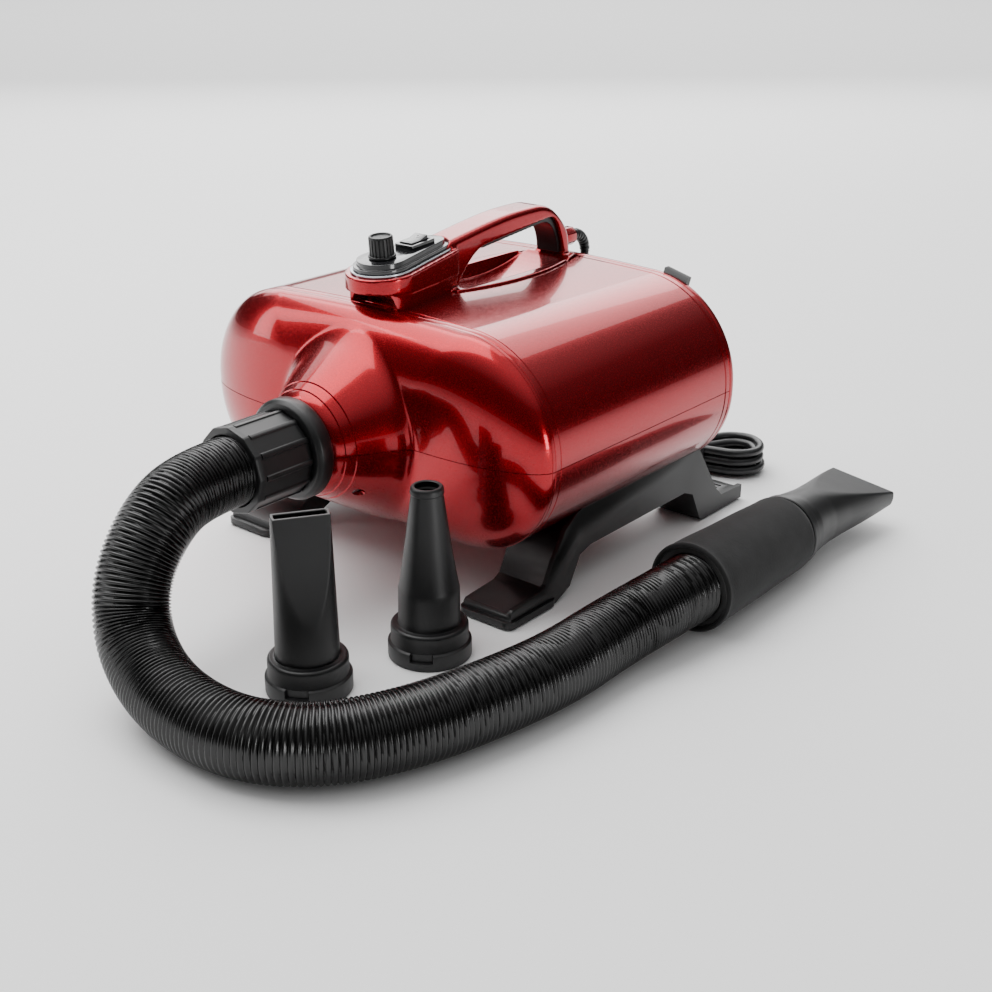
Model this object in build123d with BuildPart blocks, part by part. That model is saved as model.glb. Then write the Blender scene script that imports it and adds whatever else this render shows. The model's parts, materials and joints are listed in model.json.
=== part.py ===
from build123d import *
import math
import os

# Twin-motor pet dryer with hose, hand grip, fitted wide nozzle and two spare nozzles.
# Frame: +X is the dryer's right side, -Y its outlet end, +Z up, millimetres.
# The origin is on the surface that the dryer stands on, at the centre of its four feet.

os.makedirs("parts", exist_ok=True)

# ---------------------------------------------------------------- driving sizes
CLEAR = 0.3                 # gap between pieces that are assembled side by side
WALL = 3.0                  # moulded shell wall

BODY_HALF = 150.0           # casing half width
BODY_TOP = 183.0            # casing top above the floor
BODY_BOTTOM = 40.0          # casing bottom above the floor
CROWN = 2.0                 # rise of the top between its two round shoulders
R_TOP = 72.0                # shoulder radius
R_BOTTOM = 65.0             # lower corner radius
NOSE_Y = -118.0             # joint of nose and main shells
REAR_Y = 81.5               # rear end of the main shells
SEAM_Z = 106.0              # parting plane of upper and lower shells

NOSE_DEPTH = 27.0           # nose stands this far ahead of the joint
NOSE_SIDE = 80.0            # how far the nose rounds in at the sides
NOSE_TOP = 46.0             # how far it rounds in at top and bottom
AXIS_Z = 107.0              # outlet axis above the floor
CONE_BASE_R = 53.0
CONE_END_R = 31.0
CONE_END_Y = -187.0
CONE_BORE_R = 26.5

RING_R = 32.8               # outlet ring
RING_FRONT_Y = -200.0
CUFF_R = 27.5               # swivel cuff over its ribs
CUFF_FACE_R = 26.2
CUFF_END_Y = -240.0
CUFF_SIDES = 12

HOSE_R = 22.0
HOSE_WALL = 3.0
WAND_START = (216.0, -66.0)  # open end of the sleeve, seen from above
SLEEVE_LEN = 114.0
SLEEVE_R = 29.5
SLEEVE_TIP_R = 27.0
SLEEVE_WALL = 3.5
TIP_WIDTH = 52.0            # mouth of the fitted wide nozzle
TIP_THICK = 11.0

POD_Y = -106.5              # centre of the pod's round front and of the speed knob
POD_R = 25.0
POD_TOP = 205.0             # height of the pod top at the knob
POD_SLOPE = 5.0             # the pod top rises to the rear by this angle
POD_REAR_Y = -50.0
DISH_Z = BODY_TOP - 12.0    # underside of the handle's base dish
BAR_TOP = 224.0
BAR_BOTTOM = 214.0
BAR_FRONT_BOTTOM = 207.5     # the bar's underside falls to this height at the front
BAR_HALF = 12.5
LEG_FRONT_Y = 71.0
LEG_REAR_Y = 77.5

RAIL_X = 131.3              # outer wall of a foot rail
RAIL_INNER_X = 92.0
RAIL_FLANGE = 2.0
RAIL_HALF_LEN = 141.0
PAD_T = 1.5

MOTOR_X = 70.0              # motor axis from the middle plane
MOTOR_R = 42.0
FAN_R = 50.0
HOUSING_R = 56.0

NOZZLE_H = 110.0
NOZZLE_RING_R = 25.7
ROUND_NOZZLE_AT = (111.0, -190.0)
FLAT_NOZZLE_AT = (85.0, -266.0)
FLAT_NOZZLE_TURN = 56.0

CORD_R = 3.25
RELIEF_BEND = 15.0
BOSS_END_Y = 92.5
BOSS_Z = 192.8


def save(block, name):
    """Label a finished piece and write it."""
    block.part.label = name
    export_step(block.part, "parts/" + name + ".step")


def section(y, inset_x=0.0, inset_z=0.0):
    """The casing's cross-section on the plane at y, inset at the sides and at top and bottom."""
    half = BODY_HALF - inset_x
    top = BODY_TOP - inset_z
    bottom = BODY_BOTTOM + inset_z
    r_top = R_TOP - inset_z
    r_low = R_BOTTOM - inset_z
    flat = half - r_top
    low_flat = half - r_low
    shoulder = top - CROWN
    with BuildSketch(Plane.XZ.offset(-y)) as sketch:
        with BuildLine():
            ThreePointArc((-flat, shoulder), (0, top), (flat, shoulder))
            CenterArc((flat, shoulder - r_top), r_top, 90, -90)
            Line((half, shoulder - r_top), (half, bottom + r_low))
            CenterArc((low_flat, bottom + r_low), r_low, 0, -90)
            Line((low_flat, bottom), (-low_flat, bottom))
            CenterArc((-low_flat, bottom + r_low), r_low, 270, -90)
            Line((-half, bottom + r_low), (-half, shoulder - r_top))
            CenterArc((-flat, shoulder - r_top), r_top, 180, -90)
        make_face()
    return sketch.sketch


def prism(y0, y1, inset=0.0):
    """The casing's cross-section as a solid from y0 to y1."""
    return extrude(section(y0, inset, inset), amount=-(y1 - y0))


BLOCK = 800.0
UPPER_HALF = Pos(0, 0, SEAM_Z + BLOCK / 2) * Box(BLOCK, BLOCK, BLOCK)
LOWER_HALF = Pos(0, 0, SEAM_Z - BLOCK / 2) * Box(BLOCK, BLOCK, BLOCK)


# ---------------------------------------------------------------- handle outlines
def pod_plan(z, grow=0.0):
    """Plan of the pod: a round front that narrows to the grip bar."""
    r = POD_R + grow
    neck = BAR_HALF + 3.0 + grow
    rear = POD_REAR_Y + grow
    with BuildSketch(Plane.XY.offset(z)) as sketch:
        with BuildLine():
            ThreePointArc((-r, POD_Y), (0, POD_Y - r), (r, POD_Y))
            Polyline((r, POD_Y), (neck, rear), (-neck, rear), (-r, POD_Y))
        make_face()
    return sketch.sketch


def dish_plan(z, grow=0.0):
    """Boat-shaped plan of the handle's base dish, between pod and rear leg."""
    rear = 79.0 + grow
    with BuildSketch(Plane.XY.offset(z)) as sketch:
        with BuildLine():
            ThreePointArc((20 + grow, -58), (31 + grow, 0), (15 + grow, rear))
            Line((15 + grow, rear), (-15 - grow, rear))
            ThreePointArc((-15 - grow, rear), (-31 - grow, 0), (-20 - grow, -58))
            Line((-20 - grow, -58), (20 + grow, -58))
        make_face()
    return sketch.sketch


# ---------------------------------------------------------------- casing shells
casing_tube = prism(NOSE_Y, REAR_Y) - prism(NOSE_Y - 1, REAR_Y + 1, WALL)

with BuildPart() as upper_shell:
    add(casing_tube)
    add(UPPER_HALF, mode=Mode.INTERSECT)
    extrude(dish_plan(BODY_TOP - 14, CLEAR), amount=40, mode=Mode.SUBTRACT)
    extrude(pod_plan(BODY_TOP - 14, -0.7), amount=40, mode=Mode.SUBTRACT)
save(upper_shell, "upper_shell")

RAIL_SCREWS = [(x, y) for x in (-112.0, 112.0) for y in (-30.0, 45.0)]
SCREW_R = 2.0
SCREW_HEAD_R = 4.0

with BuildPart() as lower_shell:
    add(casing_tube)
    add(LOWER_HALF, mode=Mode.INTERSECT)
    with BuildSketch(Plane.XY.offset(BODY_BOTTOM - 10)):
        with Locations(*RAIL_SCREWS):
            Circle(SCREW_R)
    extrude(amount=30, mode=Mode.SUBTRACT)
save(lower_shell, "lower_shell")


def nose_solid(inset=0.0, depth=NOSE_DEPTH):
    """The pillow-shaped front, lofted through sections that shrink along an ellipse."""
    steps = (0.0, 0.3, 0.55, 0.75, 0.88, 0.96)
    sections = []
    for step in steps:
        shrink = 1 - math.sqrt(1 - step * step)
        y = NOSE_Y - depth * step
        sections.append(section(y, inset + NOSE_SIDE * shrink, inset + NOSE_TOP * shrink))
    return loft(sections)


def cone_solid(base_r, end_r, end_y, root_y):
    """A flared round cone on the outlet axis."""
    flare = 9.0
    with BuildSketch(Plane.XY.offset(AXIS_Z)) as half:
        with BuildLine():
            Line((0, root_y), (base_r + flare, root_y))
            Line((base_r + flare, root_y), (base_r + flare, NOSE_Y - NOSE_DEPTH + 2))
            ThreePointArc(
                (base_r + flare, NOSE_Y - NOSE_DEPTH + 2),
                (base_r + 2.2, NOSE_Y - NOSE_DEPTH - 0.8),
                (base_r, NOSE_Y - NOSE_DEPTH - 6),
            )
            Line((base_r, NOSE_Y - NOSE_DEPTH - 6), (end_r, end_y))
            Line((end_r, end_y), (0, end_y))
            Line((0, end_y), (0, root_y))
        make_face()
    return revolve(half.sketch, axis=Axis((0, 0, AXIS_Z), (0, 1, 0)), revolution_arc=360)


nose_outer = nose_solid() + cone_solid(CONE_BASE_R, CONE_END_R, CONE_END_Y, NOSE_Y - 12)
cone_bore = cone_solid(CONE_BASE_R - 6, CONE_BORE_R, CONE_END_Y - 1, NOSE_Y - 10)
nose_inner = nose_solid(WALL, NOSE_DEPTH - 3) + cone_bore
nose_hollow = nose_outer - nose_inner - prism(NOSE_Y - 2, NOSE_Y + 2, WALL)

with BuildPart() as nose_upper:
    add(nose_hollow)
    add(UPPER_HALF, mode=Mode.INTERSECT)
save(nose_upper, "nose_upper")

CONE_SCREW_TURN = 44.0      # the two cone screws point down and outwards by this angle
CONE_SCREW_Y = -167.0
RECESS_R = 3.6


def cone_screw_plane(sign, distance):
    """Plane across one of the two recessed cone screws, distance from the outlet axis."""
    turn = math.radians(CONE_SCREW_TURN)
    out = Vector(sign * math.cos(turn), 0, -math.sin(turn))
    return Plane(origin=Vector(0, CONE_SCREW_Y, AXIS_Z) + out * distance, x_dir=(0, 1, 0), z_dir=out)


with BuildPart() as nose_lower:
    add(nose_hollow)
    add(LOWER_HALF, mode=Mode.INTERSECT)
    with BuildSketch(cone_screw_plane(-1, 39.5), cone_screw_plane(1, 39.5)):
        Circle(RECESS_R)
    extrude(amount=12, mode=Mode.SUBTRACT)
    with BuildSketch(cone_screw_plane(-1, 30), cone_screw_plane(1, 30)):
        Circle(1.5)
    extrude(amount=12, mode=Mode.SUBTRACT)
save(nose_lower, "nose_lower")

with BuildPart() as cone_screws:
    with BuildSketch(cone_screw_plane(-1, 33), cone_screw_plane(1, 33)):
        Circle(1.5)
    extrude(amount=7)
    with BuildSketch(cone_screw_plane(-1, 39.5), cone_screw_plane(1, 39.5)):
        Circle(3.2)
    extrude(amount=1.8)
save(cone_screws, "cone_screws")


# ---------------------------------------------------------------- rear bezel, intake grille, filter
BEZEL_END_Y = REAR_Y + 5.0
GRILLE_INSET = 5.3
TAB_X = 96.0
TAB_Z = 173.5
TAB_TILT = 14.5             # the tabs follow the slope of the shoulder

with BuildPart() as rear_bezel:
    add(prism(REAR_Y, BEZEL_END_Y))
    add(prism(REAR_Y - 1, BEZEL_END_Y + 1, 5.0), mode=Mode.SUBTRACT)
save(rear_bezel, "rear_bezel")

with BuildPart() as rear_grille:
    add(prism(REAR_Y + 1.5, BEZEL_END_Y + 1.5, GRILLE_INSET))
    with BuildSketch(Plane.XZ.offset(-BEZEL_END_Y - 1.5)):
        with Locations((0, AXIS_Z + 4)):
            with GridLocations(74, 7.5, 3, 14):
                SlotOverall(64, 3.4)
    extrude(amount=8, mode=Mode.SUBTRACT)
    for side in (-1, 1):
        with Locations(Location((side * TAB_X, BEZEL_END_Y + 3, TAB_Z), (0, side * TAB_TILT, 0))):
            Box(20, 5, 15)
save(rear_grille, "rear_grille")

with BuildPart() as filter_foam:
    add(prism(REAR_Y - 8.0, REAR_Y + 1.2, 12.6))
save(filter_foam, "filter_foam")

# ---------------------------------------------------------------- blower
BULK_Y = -42.0
BULK_T = 3.0
HOUSING_FRONT_Y = -84.0
MOTOR_REAR_Y = 38.0
SHAFT_R = 4.0
BEARING_R = 11.0
BEARING_T = 7.0
FAN_BACK_Y = -52.0
FAN_DEPTH = 20.0
SIDES = {"left": -MOTOR_X, "right": MOTOR_X}


def along_y(y):
    """Plane across the machine at y, seen from the front: local x is X, local y is Z."""
    return Plane.XZ.offset(-y)


with BuildPart() as motor_bulkhead:
    add(prism(BULK_Y, BULK_Y + BULK_T, WALL))
    with BuildSketch(along_y(BULK_Y)):
        with Locations((-MOTOR_X, AXIS_Z), (MOTOR_X, AXIS_Z)):
            Circle(MOTOR_R - 6)
        with Locations((0, AXIS_Z)):
            Circle(8)
    extrude(amount=-BULK_T, mode=Mode.SUBTRACT)
    extrude(dish_plan(DISH_Z - CLEAR, CLEAR), amount=20, mode=Mode.SUBTRACT)
save(motor_bulkhead, "motor_bulkhead")

for side, x in SIDES.items():
    with BuildPart() as motor:
        with BuildSketch(along_y(BULK_Y + BULK_T)):
            with Locations((x, AXIS_Z)):
                Circle(MOTOR_R)
                Circle(SHAFT_R + 1, mode=Mode.SUBTRACT)
        extrude(amount=-(MOTOR_REAR_Y - BULK_Y - BULK_T))
        with BuildSketch(along_y(BULK_Y + BULK_T)):
            with Locations((x, AXIS_Z)):
                Circle(BEARING_R)
        extrude(amount=-BEARING_T, mode=Mode.SUBTRACT)
        with BuildSketch(along_y(MOTOR_REAR_Y)):
            with Locations((x, AXIS_Z)):
                Circle(BEARING_R)
        extrude(amount=BEARING_T, mode=Mode.SUBTRACT)
        with BuildSketch(along_y(0)):
            with Locations((x, AXIS_Z)):
                with PolarLocations(MOTOR_R, 8):
                    Circle(3)
        extrude(amount=-MOTOR_REAR_Y, mode=Mode.SUBTRACT)
    save(motor, "motor_" + side)

    with BuildPart() as bearings:
        with BuildSketch(along_y(BULK_Y + BULK_T)):
            with Locations((x, AXIS_Z)):
                Circle(BEARING_R)
                Circle(SHAFT_R + 0.05, mode=Mode.SUBTRACT)
        extrude(amount=-BEARING_T)
        with BuildSketch(along_y(MOTOR_REAR_Y)):
            with Locations((x, AXIS_Z)):
                Circle(BEARING_R)
                Circle(SHAFT_R + 0.05, mode=Mode.SUBTRACT)
        extrude(amount=BEARING_T)
    save(bearings, "bearings_" + side)

    with BuildPart() as housing:
        with BuildSketch(along_y(HOUSING_FRONT_Y)):
            with Locations((x, AXIS_Z)):
                Circle(HOUSING_R)
        extrude(amount=-(BULK_Y - HOUSING_FRONT_Y))
        with BuildSketch(along_y(HOUSING_FRONT_Y)):
            with Locations((x, AXIS_Z)):
                Circle(HOUSING_R - 2.5)
        extrude(amount=-(BULK_Y - HOUSING_FRONT_Y), mode=Mode.SUBTRACT)
    save(housing, "fan_housing_" + side)

    with BuildPart() as shaft:
        with BuildSketch(along_y(FAN_BACK_Y - FAN_DEPTH - 3)):
            with Locations((x, AXIS_Z)):
                Circle(SHAFT_R)
        extrude(amount=-(MOTOR_REAR_Y + 4 - FAN_BACK_Y + FAN_DEPTH + 3))
    save(shaft, "motor_shaft_" + side)

    with BuildPart() as impeller:
        with BuildSketch(along_y(FAN_BACK_Y)):
            with Locations((x, AXIS_Z)):
                Circle(FAN_R)
        extrude(amount=2)
        with BuildSketch(along_y(FAN_BACK_Y)):
            with Locations((x, AXIS_Z)):
                Circle(11)
        extrude(amount=FAN_DEPTH)
        with BuildSketch(along_y(FAN_BACK_Y)):
            with Locations((x, AXIS_Z)):
                with PolarLocations(29, 9):
                    Rectangle(40, 2.2, rotation=28)
        extrude(amount=FAN_DEPTH - 2)
        with BuildSketch(along_y(FAN_BACK_Y)):
            with Locations((x, AXIS_Z)):
                Circle(SHAFT_R)
        extrude(amount=FAN_DEPTH, mode=Mode.SUBTRACT)
    save(impeller, "impeller_" + side)

DUCT_BACK_Y = HOUSING_FRONT_Y
DUCT_NECK_Y = -146.0
DUCT_END_Y = CONE_END_Y
DUCT_R = 24.0


def duct_loft(grow, back_y):
    """The plenum's taper from both fan housings to the round outlet neck."""
    with BuildSketch(along_y(back_y)) as wide:
        with Locations((0, AXIS_Z)):
            RectangleRounded(2 * (MOTOR_X + HOUSING_R) + 2 * grow, 2 * HOUSING_R + 2 * grow, HOUSING_R - 6)
    with BuildSketch(along_y(DUCT_NECK_Y)) as neck:
        with Locations((0, AXIS_Z)):
            Circle(DUCT_R + grow)
    return loft([wide.sketch, neck.sketch])


duct_outside = duct_loft(0.0, DUCT_BACK_Y)
duct_inside = duct_loft(-2.0, DUCT_BACK_Y)

with BuildPart() as air_duct:
    add(duct_outside)
    with BuildSketch(along_y(DUCT_NECK_Y)):
        with Locations((0, AXIS_Z)):
            Circle(DUCT_R)
    extrude(amount=DUCT_NECK_Y - DUCT_END_Y)
    add(duct_inside, mode=Mode.SUBTRACT)
    with BuildSketch(along_y(DUCT_NECK_Y)):
        with Locations((0, AXIS_Z)):
            Circle(DUCT_R - 2)
    extrude(amount=DUCT_NECK_Y - DUCT_END_Y, mode=Mode.SUBTRACT)
save(air_duct, "air_duct")

# ---------------------------------------------------------------- outlet ring and swivel cuff
OUTLET_AXIS = Axis((0, 0, AXIS_Z), (0, 1, 0))
RING_BORE_R = 25.3
SPIGOT_R = 25.2
CUFF_BACK_Y = RING_FRONT_Y - CLEAR

with BuildPart() as outlet_ring:
    with BuildSketch(Plane.XY.offset(AXIS_Z)):
        with BuildLine():
            Polyline(
                (RING_BORE_R, CONE_END_Y),
                (RING_R - 1.5, CONE_END_Y),
                (RING_R, CONE_END_Y - 3),
                (RING_R, RING_FRONT_Y + 3),
                (RING_R - 2.5, RING_FRONT_Y),
                (RING_BORE_R, RING_FRONT_Y),
                close=True,
            )
        make_face()
    revolve(axis=OUTLET_AXIS)
save(outlet_ring, "outlet_ring")

with BuildPart() as hose_cuff:
    with BuildSketch(along_y(CUFF_BACK_Y)):
        with Locations((0, AXIS_Z)):
            RegularPolygon(CUFF_FACE_R, CUFF_SIDES, major_radius=False)
            with PolarLocations(CUFF_FACE_R, CUFF_SIDES):
                Rectangle(2 * (CUFF_R - CUFF_FACE_R), 2.0)
    extrude(amount=CUFF_BACK_Y - CUFF_END_Y)
    with BuildSketch(along_y(CUFF_BACK_Y)):
        with Locations((0, AXIS_Z)):
            Circle(SPIGOT_R)
    extrude(amount=-10)
    with BuildSketch(along_y(CUFF_END_Y)):
        with Locations((0, AXIS_Z)):
            Circle(CUFF_R + 0.3)
    extrude(amount=-4)
    with BuildSketch(along_y(CUFF_END_Y)):
        with Locations((0, AXIS_Z)):
            Circle(HOSE_R - 1)
    extrude(amount=-60, mode=Mode.SUBTRACT)
save(hose_cuff, "hose_cuff")

# ---------------------------------------------------------------- hand grip lying on the floor
GRIP_TILT = math.degrees(math.atan((SLEEVE_R - SLEEVE_TIP_R) / SLEEVE_LEN))
GRIP_Z = SLEEVE_R / math.cos(math.radians(GRIP_TILT)) + 0.02
COLLAR_LEN = 12.0
GRIP_TUBE_R = 23.5
SOCKET_R = 24.2
SOCKET_START = SLEEVE_LEN - 10
SOCKET_END = SLEEVE_LEN + 12
tilt = math.radians(GRIP_TILT)
GRIP = Plane(
    origin=(WAND_START[0], WAND_START[1], GRIP_Z),
    x_dir=(1, 0, 0),
    z_dir=(0, math.cos(tilt), -math.sin(tilt)),
)
GRIP_AXIS = Axis(GRIP.origin, GRIP.z_dir)


def grip_ring(points):
    """A piece turned about the grip's axis from (radius, distance) points."""
    with BuildPart() as turned:
        with BuildSketch(Plane(GRIP.origin, x_dir=GRIP.x_dir, z_dir=-GRIP.y_dir)):
            with BuildLine():
                Polyline(*points, close=True)
            make_face()
        revolve(axis=GRIP_AXIS)
    return turned


grip_sleeve = grip_ring([
    (SLEEVE_R - SLEEVE_WALL, 0),
    (SLEEVE_R, 0),
    (SLEEVE_TIP_R, SLEEVE_LEN - 4),
    (SLEEVE_TIP_R - 2, SLEEVE_LEN),
    (SOCKET_R, SLEEVE_LEN),
    (SOCKET_R, SOCKET_START),
    (GRIP_TUBE_R, SOCKET_START),
    (GRIP_TUBE_R, COLLAR_LEN),
    (SLEEVE_R - SLEEVE_WALL, COLLAR_LEN),
])
save(grip_sleeve, "grip_sleeve")

grip_collar = grip_ring([
    (HOSE_R + 0.1, 1.5),
    (SLEEVE_R - SLEEVE_WALL, 1.5),
    (SLEEVE_R - SLEEVE_WALL, COLLAR_LEN),
    (HOSE_R + 0.1, COLLAR_LEN),
])
save(grip_collar, "grip_collar")

grip_tube = grip_ring([
    (HOSE_R - HOSE_WALL, COLLAR_LEN),
    (GRIP_TUBE_R, COLLAR_LEN),
    (GRIP_TUBE_R, SOCKET_START),
    (HOSE_R - HOSE_WALL, SOCKET_START),
])
save(grip_tube, "grip_tube")

nozzle_socket = grip_ring([
    (HOSE_R - HOSE_WALL, SOCKET_START),
    (SOCKET_R, SOCKET_START),
    (SOCKET_R, SLEEVE_LEN + 2),
    (21.6, SLEEVE_LEN + 2),
    (21.6, SOCKET_END),
    (HOSE_R - HOSE_WALL, SOCKET_END),
])
save(nozzle_socket, "nozzle_socket")

# ---------------------------------------------------------------- fitted wide nozzle
WAND_NOZZLE_START = SLEEVE_LEN + 2.3
WAND_NOZZLE_END = 233.0
TIP_ROLL = -8.0


def wand_taper(shrink):
    """The wide nozzle's body, from a round socket to its flat mouth."""
    start = WAND_NOZZLE_START + 16
    with BuildSketch(GRIP.offset(start)) as root:
        Circle(23.6 - shrink)
    with BuildSketch(GRIP.offset(start + 22)) as waist:
        Ellipse(22.5 - shrink, 19.0 - shrink, rotation=TIP_ROLL)
    with BuildSketch(GRIP.offset(WAND_NOZZLE_END)) as mouth:
        SlotOverall(TIP_WIDTH - 2 * shrink, TIP_THICK - 2 * shrink, rotation=TIP_ROLL)
    return loft([root.sketch, waist.sketch, mouth.sketch])


wand_outside = wand_taper(0.0)
wand_inside = wand_taper(2.2)

with BuildPart() as wide_nozzle:
    add(wand_outside)
    with BuildSketch(GRIP.offset(WAND_NOZZLE_START)):
        Circle(23.6)
    extrude(amount=16)
    with BuildSketch(GRIP.offset(WAND_NOZZLE_START)):
        Circle(25.6)
    extrude(amount=6)
    add(wand_inside, mode=Mode.SUBTRACT)
    with BuildSketch(GRIP.offset(WAND_NOZZLE_START)):
        Circle(21.7)
    extrude(amount=16, mode=Mode.SUBTRACT)
save(wide_nozzle, "wide_nozzle")

# ---------------------------------------------------------------- spare nozzles on the floor
RING_H = 11.0
COLLAR_TOP = 24.0


def nozzle_foot(x, y):
    """The bayonet collar that both spare nozzles stand on, with its inner bore."""
    with BuildPart() as foot:
        with BuildSketch(Plane(origin=(x, y, 0), x_dir=(1, 0, 0), z_dir=(0, -1, 0))):
            with BuildLine():
                Polyline(
                    (21.7, 0),
                    (NOZZLE_RING_R, 0),
                    (NOZZLE_RING_R, RING_H),
                    (23.8, RING_H),
                    (23.8, COLLAR_TOP - 3),
                    (22.4, COLLAR_TOP),
                    (16.9, COLLAR_TOP),
                    (16.9, COLLAR_TOP - 4),
                    (21.7, COLLAR_TOP - 4),
                    close=True,
                )
            make_face()
        revolve(axis=Axis((x, y, 0), (0, 0, 1)))
        with Locations(Location((x, y, 0), (0, 0, -60)), Location((x, y, 0), (0, 0, 120))):
            with Locations((NOZZLE_RING_R, 0, RING_H - 2.5)):
                Box(3.2, 14, 5.1, mode=Mode.SUBTRACT)
    return foot.part


def round_profile(x, y, shrink):
    """A bell-shaped round body that narrows upwards."""
    with BuildSketch(Plane(origin=(x, y, 0), x_dir=(1, 0, 0), z_dir=(0, -1, 0))) as half:
        with BuildLine():
            Line((0, COLLAR_TOP - 4), (19.3 - shrink, COLLAR_TOP - 4))
            Line((19.3 - shrink, COLLAR_TOP - 4), (19.0 - shrink, 46))
            Spline(
                (19.0 - shrink, 46),
                (13.4 - shrink, 76),
                (9.3 - shrink, NOZZLE_H),
                tangents=[(-0.04, 1), (-0.08, 1)],
            )
            Line((9.3 - shrink, NOZZLE_H), (0, NOZZLE_H))
            Line((0, NOZZLE_H), (0, COLLAR_TOP - 4))
        make_face()
    return revolve(half.sketch, axis=Axis((x, y, 0), (0, 0, 1)))


def flat_profile(x, y, shrink):
    """A round body that flattens upwards into a slot mouth."""
    with BuildSketch(Plane.XY.offset(COLLAR_TOP - 4)) as root:
        with Locations((x, y)):
            Circle(19.3 - shrink)
    with BuildSketch(Plane.XY.offset(NOZZLE_H)) as mouth:
        with Locations((x, y)):
            Rectangle(33.0 - 2 * shrink, 10.0 - 2 * shrink, rotation=FLAT_NOZZLE_TURN)
        fillet(mouth.vertices(), 2.5)
    return loft([root.sketch, mouth.sketch])


round_foot = nozzle_foot(*ROUND_NOZZLE_AT)
round_body = round_profile(*ROUND_NOZZLE_AT, 0.0)
round_bore = round_profile(*ROUND_NOZZLE_AT, 2.4)
flat_foot = nozzle_foot(*FLAT_NOZZLE_AT)
flat_body = flat_profile(*FLAT_NOZZLE_AT, 0.0)
flat_bore = flat_profile(*FLAT_NOZZLE_AT, 2.4)

with BuildPart() as round_nozzle:
    add(round_body)
    add(round_foot)
    add(round_bore, mode=Mode.SUBTRACT)
save(round_nozzle, "round_nozzle")

with BuildPart() as flat_nozzle:
    add(flat_body)
    add(flat_foot)
    add(flat_bore, mode=Mode.SUBTRACT)
save(flat_nozzle, "flat_nozzle")

# ---------------------------------------------------------------- handle with control pod
POD_PLANE = Plane(origin=(0, POD_Y, POD_TOP), x_dir=(1, 0, 0), z_dir=(0, 0, 1)).rotated((POD_SLOPE, 0, 0))
PANEL_UP = POD_PLANE.z_dir
PANEL_REACH = 45.6          # distance between the panel's two round ends
COLUMN_FRONT_Y = -116.0
ARCH_HALF = 19.0
ARCH_TOP = 192.0
ARCH_CORNER_R = 10.0
OVERHANG_Z = 193.0
CONTROL_R = 8.0             # speed control under the knob
CONTROL_DEPTH = 4.8
CONTROL_T = 6.0


def yz_solid(half_width, edges):
    """A side profile, drawn with Y across and Z up, made 2 * half_width wide."""
    with BuildSketch(Plane.YZ) as side:
        with BuildLine():
            add(edges)
        make_face()
    return extrude(side.sketch, amount=half_width, both=True)


def panel_hull(lift, grow, height):
    """A teardrop plate that lies lift above the pod's sloping top."""
    with BuildSketch(POD_PLANE.offset(lift)) as plate:
        Circle(19.5 + grow)
        with Locations((0, PANEL_REACH)):
            Circle(12.0 + grow)
        make_hull()
    return extrude(plate.sketch, amount=height)


TRIM_T = 1.6
PANEL_T = 4.0
STEP_T = 3.4
ROCKER_AT = 31.0
PANEL_TOP = PANEL_T + STEP_T

trim_plate = panel_hull(0.0, 2.0, TRIM_T)
lower_plate = panel_hull(0.0, 0.0, PANEL_T)
upper_plate = panel_hull(PANEL_T, -2.6, STEP_T)
panel_room = trim_plate + panel_hull(0.0, 0.1, PANEL_TOP + 6)

with BuildLine() as bar_edges:
    Spline((-66, 213), (-20, 220), (15, 223.6), (38, BAR_TOP), tangents=[(1, 0.16), (1, 0)])
    Spline((38, BAR_TOP), (57, 219), (72, 205), (LEG_REAR_Y, BODY_TOP + 0.5), tangents=[(1, 0), (0.05, -1)])
    Line((LEG_REAR_Y, BODY_TOP + 0.5), (LEG_FRONT_Y - 3, BODY_TOP + 0.5))
    Spline((LEG_FRONT_Y - 3, BODY_TOP + 0.5), (64.5, 201), (50, BAR_BOTTOM), tangents=[(0.05, 1), (-1, -0.1)])
    Line((50, BAR_BOTTOM), (-16, BAR_FRONT_BOTTOM))
    Spline((-16, BAR_FRONT_BOTTOM), (-39, 195), (POD_REAR_Y, DISH_Z + 2), tangents=[(-1, -0.11), (-0.05, -1)])
    Line((POD_REAR_Y, DISH_Z + 2), (-66, DISH_Z + 2))
    Line((-66, DISH_Z + 2), (-66, 213))

bar_solid = yz_solid(BAR_HALF, bar_edges.line)
pod_block = extrude(pod_plan(OVERHANG_Z), amount=30)
pod_cut = split(pod_block, bisect_by=POD_PLANE, keep=Keep.BOTTOM)
column = extrude(pod_plan(DISH_Z, -1.0), amount=OVERHANG_Z - DISH_Z)
column_keep = Pos(0, COLUMN_FRONT_Y + 100, 150) * Box(80, 200, 300)
dish_plate = extrude(dish_plan(DISH_Z), amount=BODY_TOP + 1.2 - DISH_Z)
dish_hollow = Pos(0, 8, BODY_TOP - 9 + 175) * Rot(0, 90, 0) * Cylinder(175, 44)
dish = dish_plate - dish_hollow
pod_inside = extrude(pod_plan(DISH_Z - 1, -4.0), amount=OVERHANG_Z + 6 - DISH_Z)
column_inside = Pos(0, COLUMN_FRONT_Y + 18 + 100, 150) * Box(80, 200, 300)
pod_pocket = (pod_inside & column_inside) - Pos(0, 42, 200) * Box(100, 184, 200)
arch = Pos(0, COLUMN_FRONT_Y, ARCH_TOP - ARCH_CORNER_R) * Rot(90, 0, 0) * extrude(
    SlotOverall(2 * ARCH_HALF, 2 * ARCH_CORNER_R), amount=14, both=True
)
arch_floor = Pos(0, COLUMN_FRONT_Y, ARCH_TOP - ARCH_CORNER_R - 10) * Box(2 * ARCH_HALF, 28, 20)

HANDLE_SCREWS = [(-7.0, 66.0), (7.0, 66.0)]

BAR_ROUND = 4.0


def on_bar_corner(edge):
    """True for an edge along the bar's upper corners."""
    middle = edge.center()
    return middle.Z > BAR_BOTTOM and abs(middle.X) > BAR_HALF - 0.1


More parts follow.
